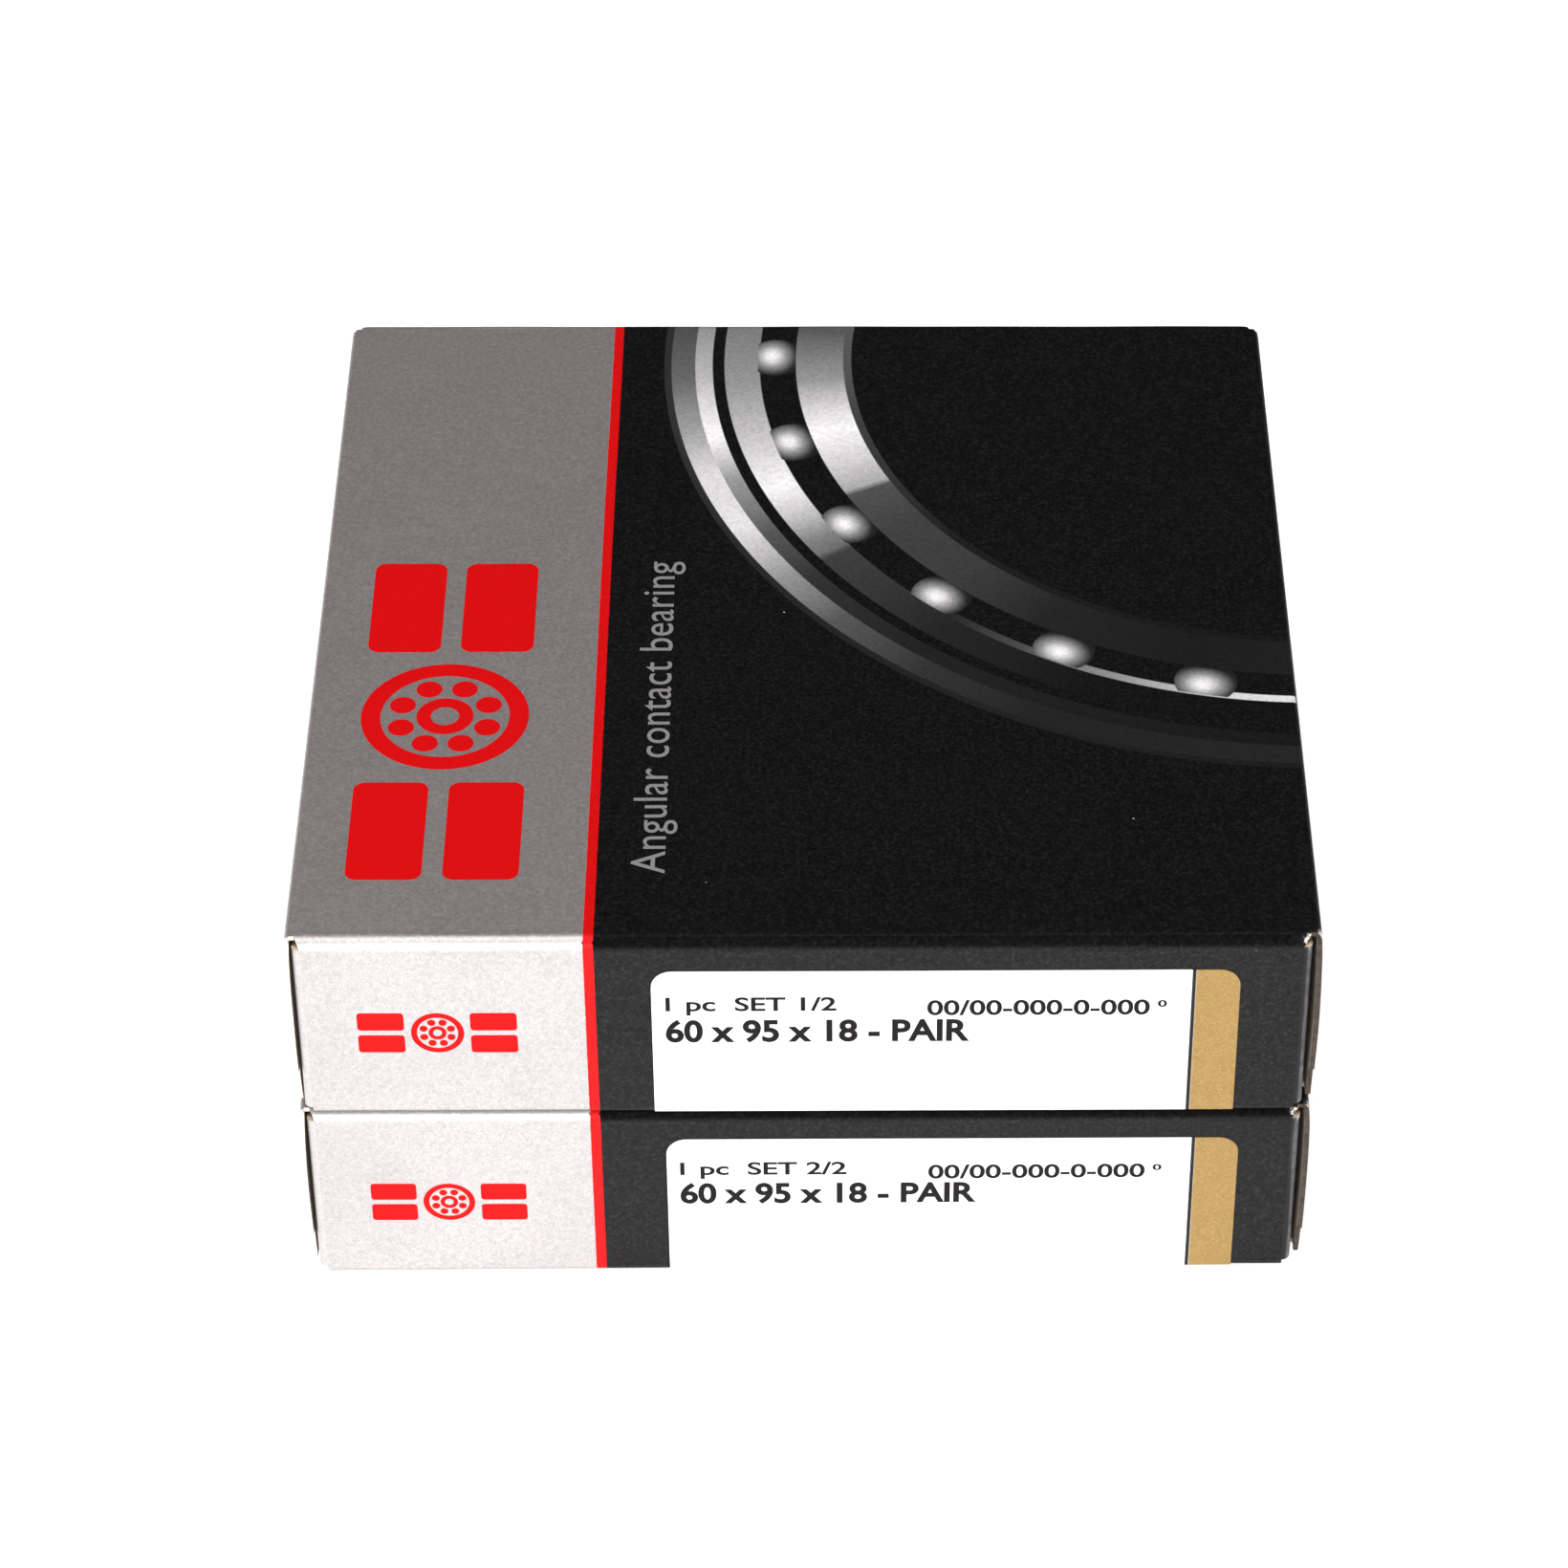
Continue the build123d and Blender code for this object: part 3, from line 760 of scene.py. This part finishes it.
def strip(name, rows, axes, materials, wear, stations, warp=None):
    """A sheet swept along a path of rows (a, b, normal a, normal b, low, high), where a is
    x, low and high are the ends of its width, and b is the remaining axis.
    wear and warp are functions of x, y, z; warp gives an offset along the normal."""
    v = np.linspace(0, 1, stations)
    # slightly closer together towards both ends
    v = 0.5 - 0.5 * np.cos(np.pi * v) * 0.35 - (0.5 - v) * 0.65
    v = (v - v[0]) / (v[-1] - v[0])
    a, b, na, nb, low, high = (np.repeat(column[:, None], stations, 1) for column in rows.T)
    grid = np.stack([a, b, low + (high - low) * v], -1)[..., axes]
    normals = np.stack([na, nb, np.zeros_like(na)], -1)[..., axes]
    if warp is not None:
        grid = grid + normals * warp(*np.moveaxis(grid, -1, 0))[..., None]
    return sheet(name, grid, normals, materials, wear(*np.moveaxis(grid, -1, 0)))


def place_profile(rows, side, base):
    """Turns rows (x, z, normal x, normal z, half width) into a strip's rows at one end."""
    rows = np.array([(*row[:4], -row[4], row[4]) for row in rows])
    return rows * (side, 1, side, 1, 1, 1) + (0, base, 0, 0, 0, 0)


def closure_panel(carton, end):
    """A lip of the top panel, the crease, and the panel down to the tuck fold."""
    side, base = SIDES[end], BASE_Z[carton]
    rows = [(x, HEIGHT, 0, 1, LIP_HALF) for x in (TOP_END_X, 49.25, CREASE_X)]
    for angle in np.linspace(90, 0, 10)[1:]:
        nx, nz = direction(angle)
        rows.append((CREASE_X + CREASE_R * nx, CREASE_Z + CREASE_R * nz, nx, nz,
                     LIP_HALF + 0.50 * nx ** 0.8))
    for z in np.linspace(CREASE_Z, LOCK_Z + 0.15, 22)[1:].tolist() + [LOCK_Z]:
        rows.append((HALF_WIDTH, z, 1, 0, 50.05 + 0.07 * min(1.0, (CREASE_Z - z) / 2.0)))
    for z in [LOCK_Z - 0.05] + np.linspace(LOCK_Z, CLOSURE_END_Z, 9)[1:].tolist():
        rows.append((HALF_WIDTH, z, 1, 0, 49.3))

    def warp(x, y, z):
        z = z - base
        down = np.clip((CREASE_Z - z) / (CREASE_Z - CLOSURE_END_Z), 0, 1)
        arch = np.sin(np.pi * down)
        bow = BOW[side] * np.sin(np.pi * down ** 0.85)
        # the free edges stand off a little more than the middle
        edge = 0.10 * np.abs(y / 50) ** 4 * arch
        wave = 0.05 * ripple(y, z * 3, CLOSURE_PHASE[carton, side]) * arch
        return np.where(z < CREASE_Z, bow + edge + wave, 0.0)

    def wear(x, y, z):
        z = z - base
        crease = np.hypot(np.abs(x) - 49.85, z - (HEIGHT - 0.15))
        level = 0.50 * near(crease, 0.7) + 0.14 * near(crease, 2.0)
        level = level * np.where(y > 47, 0.5, 1.0)
        corner = near(np.hypot(crease, np.abs(y) - 50.0), 1.0)
        level += (0.55 if side > 0 else 0.25) * corner * np.where(y < 0, 1.0, 0.15)
        level += 0.16 * near(np.abs(y) - 50.1, 0.35)
        level += 0.35 * near(z - 1.0, 0.7)
        return np.clip(level, 0, 1)

    # the right closure's cut edge is dark brown, the left one pale
    edge_material = DARK_EDGE if side > 0 else PALE_EDGE
    return strip(f"{carton}_{end}_closure_panel", place_profile(rows, side, base), ALONG_Y,
                 [PRINTED[carton], INSIDE, edge_material], wear, 81, warp)


def tuck_tab(carton, end):
    """The fold under a closure panel and the tab that runs inwards from it."""
    side, base = SIDES[end], BASE_Z[carton]
    rows = []
    for angle in np.linspace(0, -90, 9):
        nx, nz = direction(angle)
        rows.append((CREASE_X + CREASE_R * nx, TUCK_Z + CREASE_R * nz, nx, nz,
                     48.2 + 0.5 * (angle / 90)))
    slope = -TUCK_DROP / TUCK_REACH
    length = math.hypot(slope, -1.0)
    for u in np.concatenate([np.linspace(0, 0.44, 8)[1:], np.linspace(0.44, 1.0, 16)[1:]]):
        inset = corner_inset(TUCK_REACH * u - (TUCK_REACH - TUCK_CORNER_R), TUCK_CORNER_R)
        rows.append((CREASE_X - TUCK_REACH * u, TUCK_Z - CREASE_R + TUCK_DROP * u,
                     slope / length, -1.0 / length, 47.5 - inset))

    def wear(x, y, z):
        return 0.42 * near(np.hypot(np.abs(x) - 49.85, z - base - 0.75), 0.5)

    return strip(f"{carton}_{end}_tuck_tab_board", place_profile(rows, side, base), ALONG_Y,
                 [PRINTED[carton], INSIDE, EDGE], wear, 61)


def dust_flap(carton, end, face):
    """A flap folded in from the front or back panel, behind the closure."""
    side, facing, base, outer = SIDES[end], FACES[face], BASE_Z[carton], FLAP_X[SIDES[end]]
    rows = [(SIDE_END_X[side], -HALF_DEPTH, 0, -1, FLAP_LOW, FLAP_HIGH)]
    for angle in np.linspace(-90, 0, 10):
        nx, ny = direction(angle)
        reach = 0.4 * (angle + 90) / 90
        rows.append((outer - FLAP_FOLD_R + FLAP_FOLD_R * nx,
                     -HALF_DEPTH + FLAP_FOLD_R + FLAP_FOLD_R * ny,
                     nx, ny, FLAP_LOW, FLAP_HIGH - FLAP_TAPER * reach))
    corner_start = FLAP_LENGTH - FLAP_CORNER_R
    reaches = np.concatenate([
        np.linspace(1.0, 1.6, 3), np.linspace(1.7, 2.6, 5), np.linspace(3.2, 22.8, 14),
        corner_start + FLAP_CORNER_R * np.sin(np.linspace(0, np.pi / 2, 9))[1:]])
    for reach in np.round(reaches, 4):
        low = np.interp(reach, [1.6, 2.6, FLAP_LENGTH], [FLAP_LOW, 2.5, 4.0])
        inset = corner_inset(reach - corner_start, FLAP_CORNER_R)
        lean = max(0.0, 1 - (reach - FLAP_FOLD_R) / 5.0) ** 1.6
        rows.append((FLAP_END_X + (outer - FLAP_END_X) * lean, -50.25 + reach, 1, 0,
                     low + inset, FLAP_HIGH - FLAP_TAPER * reach - inset))
    rows = np.array(rows) * (side, -facing, side, -facing, 1, 1) + (0, 0, 0, 0, base, base)

    def warp(x, y, z):
        # carries the panel's own swell over the fold, dying away behind it
        fade = np.clip((np.abs(y) - 49.6) / 0.9, 0, 1)
        return fade * swell(np.abs(x), z - base, carton, facing > 0)

    def wear(x, y, z):
        z = z - base
        fold = np.hypot(np.abs(x) - outer + 0.2, np.abs(y) - 50.2)
        # more wear on the right flaps' folds, partly real wear and partly a painted highlight
        # along the fold
        edge, corner = (0.42, 1.0) if side > 0 else (0.30, 0.3)
        level = edge * near(fold, 0.5) + 0.10 * near(fold, 1.6)
        ends = corner * near(z - 21.4, 0.7) + 0.4 * near(z - 1.0, 0.7)
        return np.clip(level + 0.5 * near(fold, 0.9) * ends, 0, 1)

    return strip(f"{carton}_{end}_{face}_dust_flap_board", rows, ALONG_Z,
                 [FLAP_BOARD, INSIDE, EDGE], wear, 33, warp)


def glue_flap(carton):
    """A flap lying flat against the inside of the back panel, narrowing upwards."""
    z = np.concatenate([np.linspace(0.75, 13.2, 26),
                        14.2 - np.cos(np.linspace(0, np.pi / 2, 6))[1:]])
    half = 45.5 - 3.5 * np.maximum(0, (z - 10.2) / 4.0)
    x = half[:, None] * np.linspace(-1, 1, 41)
    height = np.repeat(z[:, None], 41, 1) + BASE_Z[carton]
    grid = np.stack([x, np.full_like(x, 49.98), height], -1)
    normals = np.zeros_like(grid)
    normals[..., 1] = 1.0
    return sheet(carton + "_glue_flap_board", grid, normals, [INSIDE, INSIDE, EDGE],
                 np.zeros_like(x))


# ------------------------------------------------------------------ label and print
def front_point(x, z, carton, off):
    """Points and normals off the front face; z is height in the carton, and below the
    fold's start it runs on round the fold."""
    flat = z >= LOW_FOLD_R
    angle = np.clip(LOW_FOLD_R - z, 0, None) / LOW_FOLD_R
    radius = LOW_FOLD_R + off
    y = np.where(flat, -HALF_DEPTH - swell(x, z, carton) - off,
                 -HALF_DEPTH + LOW_FOLD_R - radius * np.cos(angle))
    height = np.where(flat, z, LOW_FOLD_R - radius * np.sin(angle))
    normals = np.stack([np.zeros_like(y), np.where(flat, -1.0, -np.cos(angle)),
                        np.where(flat, 0.0, -np.sin(angle))], -1)
    return np.stack([x, y, height + BASE_Z[carton]], -1), normals


def label(carton):
    """Paper label on the front, wrapped under the lower fold, upper corners rounded."""
    left, right = LABEL_X[carton]
    corner_z = LABEL_TOP + PRINT_RISE[carton] - LABEL_CORNER_R
    z = np.concatenate([
        LOW_FOLD_R - np.linspace(0.80, 0.0, 7)[:-1], np.linspace(LOW_FOLD_R, corner_z, 20),
        corner_z + LABEL_CORNER_R * np.sin(np.linspace(0, np.pi / 2, 10))[1:]])
    inset = np.array([corner_inset(level - corner_z, LABEL_CORNER_R) for level in z])[:, None]
    x = left + inset + (right - left - 2 * inset) * np.linspace(0, 1, 61)
    grid, normals = front_point(x, np.repeat(z[:, None], 61, 1), carton, LABEL_GAP)
    wear = 0.5 * near(np.minimum(x - left, right - x), 0.5)
    return sheet(carton + "_label_sheet", grid, normals, [LABEL_STOCK[carton]] * 3, wear,
                 thickness=LABEL_PAPER, cut=0.01)


def text_outline(text, width, height, size, space=1.0, bold=0.0):
    """Filled text as flat points and faces, stretched to a width and height."""
    curve = bpy.data.curves.new("text", "FONT")
    curve.body = text
    curve.size = size
    curve.space_character = space
    curve.offset = bold
    curve.resolution_u = 6
    ob = link_object("text", curve)
    depsgraph = bpy.context.evaluated_depsgraph_get()
    mesh = bpy.data.meshes.new_from_object(ob.evaluated_get(depsgraph))
    points = np.array([v.co[:] for v in mesh.vertices])[:, :2]
    faces = [tuple(p.vertices) for p in mesh.polygons]
    bpy.data.objects.remove(ob)
    bpy.data.curves.remove(curve)
    bpy.data.meshes.remove(mesh)
    low, high = points.min(0), points.max(0)
    return (points - low) * (np.array([width, height]) / (high - low)), faces


def ink_film(flat, faces, place, name, material):
    """A flat outline as a closed film; place(flat, lift) maps it onto the surface."""
    count = len(flat)
    edges = dict.fromkeys((a, b) for f in faces for a, b in zip(f, f[1:] + f[:1]))
    border = [(a, b) for a, b in edges if (b, a) not in edges]
    points = np.vstack([place(flat, 0.012), place(flat, 0.002)])
    solid = list(faces) + [tuple(i + count for i in f[::-1]) for f in faces]
    solid += [(b, a, a + count, b + count) for a, b in border]
    a, b, c = points[list(solid[0][:3])]
    if np.dot(np.cross(b - a, c - a), a - points[solid[0][0] + count]) < 0:
        solid = [f[::-1] for f in solid]
    return make_mesh(name, points, solid, [material], 30)


def rounded_rect(x0, y0, x1, y1, radius, steps=8):
    points = []
    for x, y, start in ((x1 - radius, y1 - radius, 0), (x0 + radius, y1 - radius, 90),
                        (x0 + radius, y0 + radius, 180), (x1 - radius, y0 + radius, 270)):
        for i in range(steps + 1):
            across, up = direction(start + 90 * i / steps)
            points.append((x + radius * across, y + radius * up))
    return np.array(points)


def circle(x, y, radius, steps):
    angle = np.linspace(0, 2 * np.pi, steps, endpoint=False)
    return np.stack([x + radius * np.cos(angle), y + radius * np.sin(angle)], -1)


def emblem(width, height):
    """Plain pictogram, drawn 3 by 1: a ring with balls between two pairs of bars."""
    shapes = [[circle(1.5, 0.5, 0.5, 64), circle(1.5, 0.5, 0.385, 64)[::-1]],
              [circle(1.5, 0.5, 0.17, 48), circle(1.5, 0.5, 0.085, 32)[::-1]]]
    for i in range(8):
        across, up = direction(22.5 + 45 * i)
        shapes.append([circle(1.5 + 0.277 * across, 0.5 + 0.277 * up, 0.078, 20)])
    for left, right in ((0.0, 0.88), (2.12, 3.0)):
        shapes.append([rounded_rect(left, 0.56, right, 1.0, 0.07)])
        shapes.append([rounded_rect(left, 0.0, right, 0.44, 0.07)])
    points, faces = [], []
    for loops in shapes:
        triangles = tessellate_polygon([[Vector((*p, 0)) for p in loop] for loop in loops])
        faces += [tuple(i + len(points) for i in triangle) for triangle in triangles]
        points += list(np.vstack(loops))
    return np.array(points) * np.array([width / 3, height]), faces


def refine(points, faces, longest):
    """Splits edges longer than this, so that a film follows a bowed panel."""
    bm = bmesh.new()
    verts = [bm.verts.new((p[0], p[1], 0)) for p in points]
    for face in faces:
        # guards against a face that repeats a vertex or another face
        try:
            bm.faces.new([verts[i] for i in face])
        except ValueError:
            pass
    for _ in range(5):
        edges = [e for e in bm.edges if e.calc_length() > longest]
        if not edges:
            break
        bmesh.ops.subdivide_edges(bm, edges=edges, cuts=1)
        bmesh.ops.triangulate(bm, faces=[f for f in bm.faces if len(f.verts) > 3])
    bm.verts.index_update()
    flat = np.array([v.co[:2] for v in bm.verts])
    split = [tuple(v.index for v in f.verts) for f in bm.faces]
    bm.free()
    return flat, split


def on_front(carton, x, z, off=0.0):
    def place(flat, lift):
        return front_point(flat[:, 0] + x, flat[:, 1] + z, carton, off + lift)[0]
    return place


def on_top(carton, x, y):
    """Reads along +Y, with the top of the print towards -X."""
    def place(flat, lift):
        px, py = x - flat[:, 1], y + flat[:, 0]
        return np.stack([px, py, BASE_Z[carton] + HEIGHT - sink(px, py, carton) + lift], -1)
    return place


# ------------------------------------------------------------------ assembly
def own(ob, body, node=None):
    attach(ob, body)
    if node:
        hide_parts(node)


def add_board(ob, node, start, end):
    """A printed piece: hides its own node and bakes the piece's transform; start and end, points
    in mm, are not used.
    """
    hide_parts(node)
    tuple(v * MM for v in start)
    tuple(v * MM for v in end)
    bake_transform(ob)


def add_end(carton, end):
    """One end of a carton: closure, tuck tab and two dust flaps."""
    side, base, body = SIDES[end], BASE_Z[carton], carton + "_carton"
    closure = f"{carton}_{end}_closure"
    add_board(closure_panel(carton, end), closure,
              start=(side * 49.35, 0, base + HEIGHT),
              end=(side * HALF_WIDTH, 0, base + HEIGHT - 0.65))
    add_board(tuck_tab(carton, end), f"{carton}_{end}_tuck_tab",
              start=(side * HALF_WIDTH, 0, base + TUCK_Z),
              end=(side * CREASE_X, 0, base + 0.6))
    for face, facing in FACES.items():
        ob = dust_flap(carton, end, face)
        start, stop = settle([(side * SIDE_END_X[side], facing * HALF_DEPTH, base + 11.0),
                              (side * FLAP_X[side], facing * 49.65, base + 11.0)], carton)
        add_board(ob, f"{carton}_{end}_{face}_dust_flap",
                  start=(start[0], start[1], 0), end=(stop[0], stop[1], 0))


def add_print(carton):
    """Red emblems on the front and top, and grey wording beside the stripe on the top."""
    films = (
        ("front_emblem", emblem(15.6, 5.15), 1.6, RED_INK,
         on_front(carton, -43.45, EMBLEM_Z[carton] + PRINT_RISE[carton])),
        ("top_emblem", emblem(49.6, 17.0), 4.0, RED_INK, on_top(carton, -27.7, -41.4)),
        ("top_words", text_outline("Angular contact bearing", 49.0, 4.45, size=5.0, space=1.03),
         4.0, GREY_INK, on_top(carton, -12.35, -40.6)),
    )
    for name, outline, longest, ink, place in films:
        flat, faces = refine(*outline, longest)
        own(ink_film(flat, faces, place, f"{carton}_{name}", ink),
            carton + "_carton")


def add_label_text(carton):
    """Quantity and set, a serial number, the boundary sizes, and a small mark."""
    upper = carton == "upper"
    dx = 0.0 if upper else 0.95
    dz = PRINT_RISE[carton] + (0.0 if upper else 0.12)
    # name, text, x, z, width, height, font size, bold
    lines = (
        ("qty", "1 pc  SET " + ("1/2" if upper else "2/2"), -13.35 + dx, 12.72, 16.6, 2.35,
         2.6, 0.056),
        ("serial", "00/00-000-0-000", 12.05 + dx * 0.3, 12.60, 21.6, 2.00, 2.6, 0.056),
        ("size", "60 x 95 x 18 - PAIR", -13.4 + dx, 9.15, 29.6, 3.05, 2.6, 0.085),
        ("mark", "0", 34.4 + dx * 0.3, 13.6, 0.9, 0.9, 1.6, 0.05),
    )
    for name, text, x, z, width, height, size, bold in lines:
        flat, faces = text_outline(text, width, height, size=size, bold=bold)
        place = on_front(carton, x, z + dz, LABEL_GAP)
        own(ink_film(flat, faces, place, f"{carton}_label_{name}", LABEL_INK),
            carton + "_carton")


for carton in CARTONS:
    body = carton + "_carton"
    own(tube(carton), body, carton + "_carton_body")
    own(glue_flap(carton), body)
    own(label(carton), body, carton + "_label")
    for end in SIDES:
        add_end(carton, end)
    add_print(carton)
    add_label_text(carton)


# ------------------------------------------------------------------ bearings
def ring_coordinates(mat, carton):
    """Radius and angle about the bearing's axis."""
    dx = mat.x - BEARING_X[carton]
    return mat.hypot(dx, mat.y), mat.math("ARCTAN2", mat.y, dx)


def steel_material(carton):
    """Steel with grinding lines that run round the ring."""
    mat = Graph("ground_steel_" + carton)
    radius, angle = ring_coordinates(mat, carton)
    lines = mat.noise(1.0, detail=3, rough=0.65,
                      at=mat.vector(radius * 9.0, mat.z * 9.0, angle * 1.2))
    fine_lines = mat.noise(1.0, detail=2, rough=0.6,
                           at=mat.vector(radius * 30.0, mat.z * 30.0, angle * 4.0))
    cloud = mat.noise(0.12, detail=3, rough=0.6)
    colour = mat.coat(
        mat.mix(lines.rise(0.35, 0.68), (0.455, 0.465, 0.482), (0.560, 0.568, 0.583)),
        (cloud.rise(0.4, 0.7, to=0.40), (0.395, 0.390, 0.380)))
    return mat.finish(
        Base_Color=colour,
        Metallic=1.0,
        Roughness=0.20 + (fine_lines * 0.14 + cloud.rise(0.35, 0.75) * 0.06),
        Normal=mat.bump(lines + fine_lines, strength=0.10, distance=0.00002),
        Anisotropic=0.45)


def ball_material():
    mat = Graph("ball_steel")
    cloud = mat.noise(0.8, detail=3, rough=0.6)
    return mat.finish(
        Base_Color=mat.mix(cloud.rise(0.4, 0.7), (0.76, 0.77, 0.78), (0.70, 0.71, 0.73)),
        Metallic=1.0,
        Roughness=0.055 + mat.noise(5.0, detail=3) * 0.04,
        Normal=mat.bump(mat.noise(20.0, detail=2), strength=0.02, distance=0.00001))


def cage_material(carton):
    """Cotton cloth laminate: fine crossed threads in brown resin, layer lines on the rims."""
    mat = Graph("laminated_cage_" + carton)
    radius, angle = ring_coordinates(mat, carton)
    threads_round = mat.math("SINE", (angle * 39.5) * 4.6)
    threads_up = mat.math("SINE", mat.z * 9.2)
    weave = (threads_round * threads_up + 1.0) * 0.5
    layers = (mat.math("SINE", radius * 22.0) + 1.0) * 0.5
    pattern = mat.lerp(abs(mat.normal_z).rise(0.5, 0.8), weave, layers)
    blotch = mat.noise(1.3, detail=5, rough=0.65)
    fine = mat.noise(6.0, detail=4, rough=0.6)
    colour = mat.coat(
        mat.mix(pattern, (0.225, 0.098, 0.036), (0.40, 0.205, 0.085)),
        (blotch.rise(0.35, 0.7, to=0.5), (0.30, 0.14, 0.052)),
        (fine.rise(0.6, 0.8, to=0.4), (0.52, 0.33, 0.17)))
    return mat.finish(
        Base_Color=colour,
        Roughness=0.46 + blotch * 0.15,
        Normal=mat.bump(pattern * 0.6 + fine * 0.5, strength=0.35, distance=0.00006))


def ball_set(carton, material):
    """All the balls of one bearing as one piece, each turned at random."""
    bm = bmesh.new()
    for i in range(BALLS):
        across, along = direction(360 / BALLS * i)
        centre = Matrix.Translation(((BEARING_X[carton] + BALL_CIRCLE_R * across) * MM,
                                     BALL_CIRCLE_R * along * MM,
                                     (BASE_Z[carton] + BALL_Z) * MM))
        turn = (Matrix.Rotation(rng.random() * 6.28, 4, "Z")
                @ Matrix.Rotation(rng.random() * 3.14, 4, "X"))
        bmesh.ops.create_icosphere(bm, subdivisions=4, radius=BALL_R * MM, matrix=centre @ turn)
    mesh = bpy.data.meshes.new(carton + "_ball_set")
    bm.to_mesh(mesh)
    bm.free()
    mesh.polygons.foreach_set("use_smooth", np.ones(len(mesh.polygons), bool))
    mesh.materials.append(material)
    own(link_object(carton + "_ball_set", mesh), carton + "_cage_set", carton + "_balls")


ball_steel = ball_material()
for carton in CARTONS:
    ball_set(carton, ball_steel)
for carton in CARTONS:
    steel = steel_material(carton)
    cage = cage_material(carton)
    for part, material in (("outer_ring", steel), ("inner_ring", steel), ("cage", cage)):
        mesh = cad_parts[f"{carton}_{part}"].data
        mesh.materials.clear()
        mesh.materials.append(material)
        mesh.set_sharp_from_angle(angle=math.radians(30))


# ------------------------------------------------------------------ floor, light, camera (metres)
def floor():
    """A glowing white disc just below the cartons."""
    steps, level = 96, -0.00004
    angles = np.linspace(0, 2 * np.pi, steps, endpoint=False)
    points, faces = [(0, 0, level)], []
    for ring, radius in enumerate((0.1, 0.25, 0.6, 1.4, 4.0)):
        points += [(radius * math.cos(t), radius * math.sin(t), level) for t in angles]
        for i in range(steps):
            j = (i + 1) % steps
            if ring == 0:
                faces.append((0, 1 + i, 1 + j))
            else:
                inner, outer = 1 + (ring - 1) * steps, 1 + ring * steps
                faces.append((inner + i, outer + i, outer + j, inner + j))
    mesh = bpy.data.meshes.new("floor")
    mesh.from_pydata(points, [], faces)
    ob = link_object("studio_floor", mesh)
    mat = Graph("studio_floor")
    cloud = mat.noise(0.02, detail=3, rough=0.5)
    mesh.materials.append(mat.finish(
        Base_Color=mat.mix(cloud.rise(0.4, 0.7), (0.88, 0.88, 0.88), (0.86, 0.86, 0.865)),
        Roughness=0.85,
        Emission_Color=(1, 1, 1, 1),
        Emission_Strength=0.52,
        Specular_IOR_Level=0.05))


def studio_world():
    """White to the eye, dim as a source, so that dark print stays dark."""
    world = bpy.data.worlds.new("studio")
    bpy.context.scene.world = world
    world.use_nodes = True
    tree = world.node_tree
    path = tree.nodes.new("ShaderNodeLightPath")
    strength = tree.nodes.new("ShaderNodeMapRange")
    strength.inputs["To Min"].default_value = 0.10
    strength.inputs["To Max"].default_value = 1.0
    background = tree.nodes["Background"]
    background.inputs[0].default_value = (1.0, 1.0, 1.0, 1.0)
    tree.links.new(path.outputs["Is Camera Ray"], strength.inputs["Value"])
    tree.links.new(strength.outputs[0], background.inputs[1])


def area_light(name, location, target, size, size_y, power):
    light = bpy.data.lights.new(name, "AREA")
    light.shape = "RECTANGLE"
    light.size = size
    light.size_y = size_y
    light.energy = power
    ob = link_object(name, light)
    ob.location = location
    aim = Vector(target) - Vector(location)
    ob.rotation_euler = aim.to_track_quat("-Z", "Y").to_euler()


def rotation(i, j, degrees):
    """Rotation matrix in the plane of axes i and j."""
    across, up = direction(degrees)
    matrix = np.eye(3)
    matrix[i, i] = matrix[j, j] = across
    matrix[i, j], matrix[j, i] = -up, up
    return matrix


def camera(location, yaw, pitch, roll):
    data = bpy.data.cameras.new("camera")
    data.sensor_width = 36.0
    data.lens = 122.2262561
    data.clip_start = 0.01
    data.clip_end = 20.0
    ob = link_object("camera", data)
    # rows of the view: right, down and forward; unturned it looks along +Y
    level = np.array([[1, 0, 0], [0, 0, -1], [0, 1, 0]])
    view = rotation(0, 1, roll) @ rotation(1, 2, pitch) @ level @ rotation(0, 1, -yaw)
    matrix = np.eye(4)
    matrix[:3, 0], matrix[:3, 1], matrix[:3, 2] = view[0], -view[1], -view[2]
    matrix[:3, 3] = np.array(location) * MM
    ob.matrix_world = Matrix(matrix.tolist())
    bpy.context.scene.camera = ob


floor()
studio_world()
area_light("key_front", (-0.24, -1.15, 0.42), (0, 0, 0.02), size=0.9, size_y=0.55, power=17.6)
area_light("fill_top", (-0.10, -0.20, 1.2), (0, 0, 0.02), size=0.8, size_y=0.8, power=8.1)
area_light("rim_right", (0.95, -0.35, 0.5), (0.04, 0, 0.03), size=0.35, size_y=0.5, power=4.2)
area_light("rim_left", (-0.95, 0.10, 0.42), (-0.04, 0, 0.04), size=0.35, size_y=0.5, power=3.0)
camera((3.36763, -431.75939, 386.45146), yaw=0.74554, pitch=40.19188, roll=-0.67519)

view_settings = bpy.context.scene.view_settings
view_settings.view_transform = "Standard"
view_settings.look = "None"
view_settings.exposure = 0.0
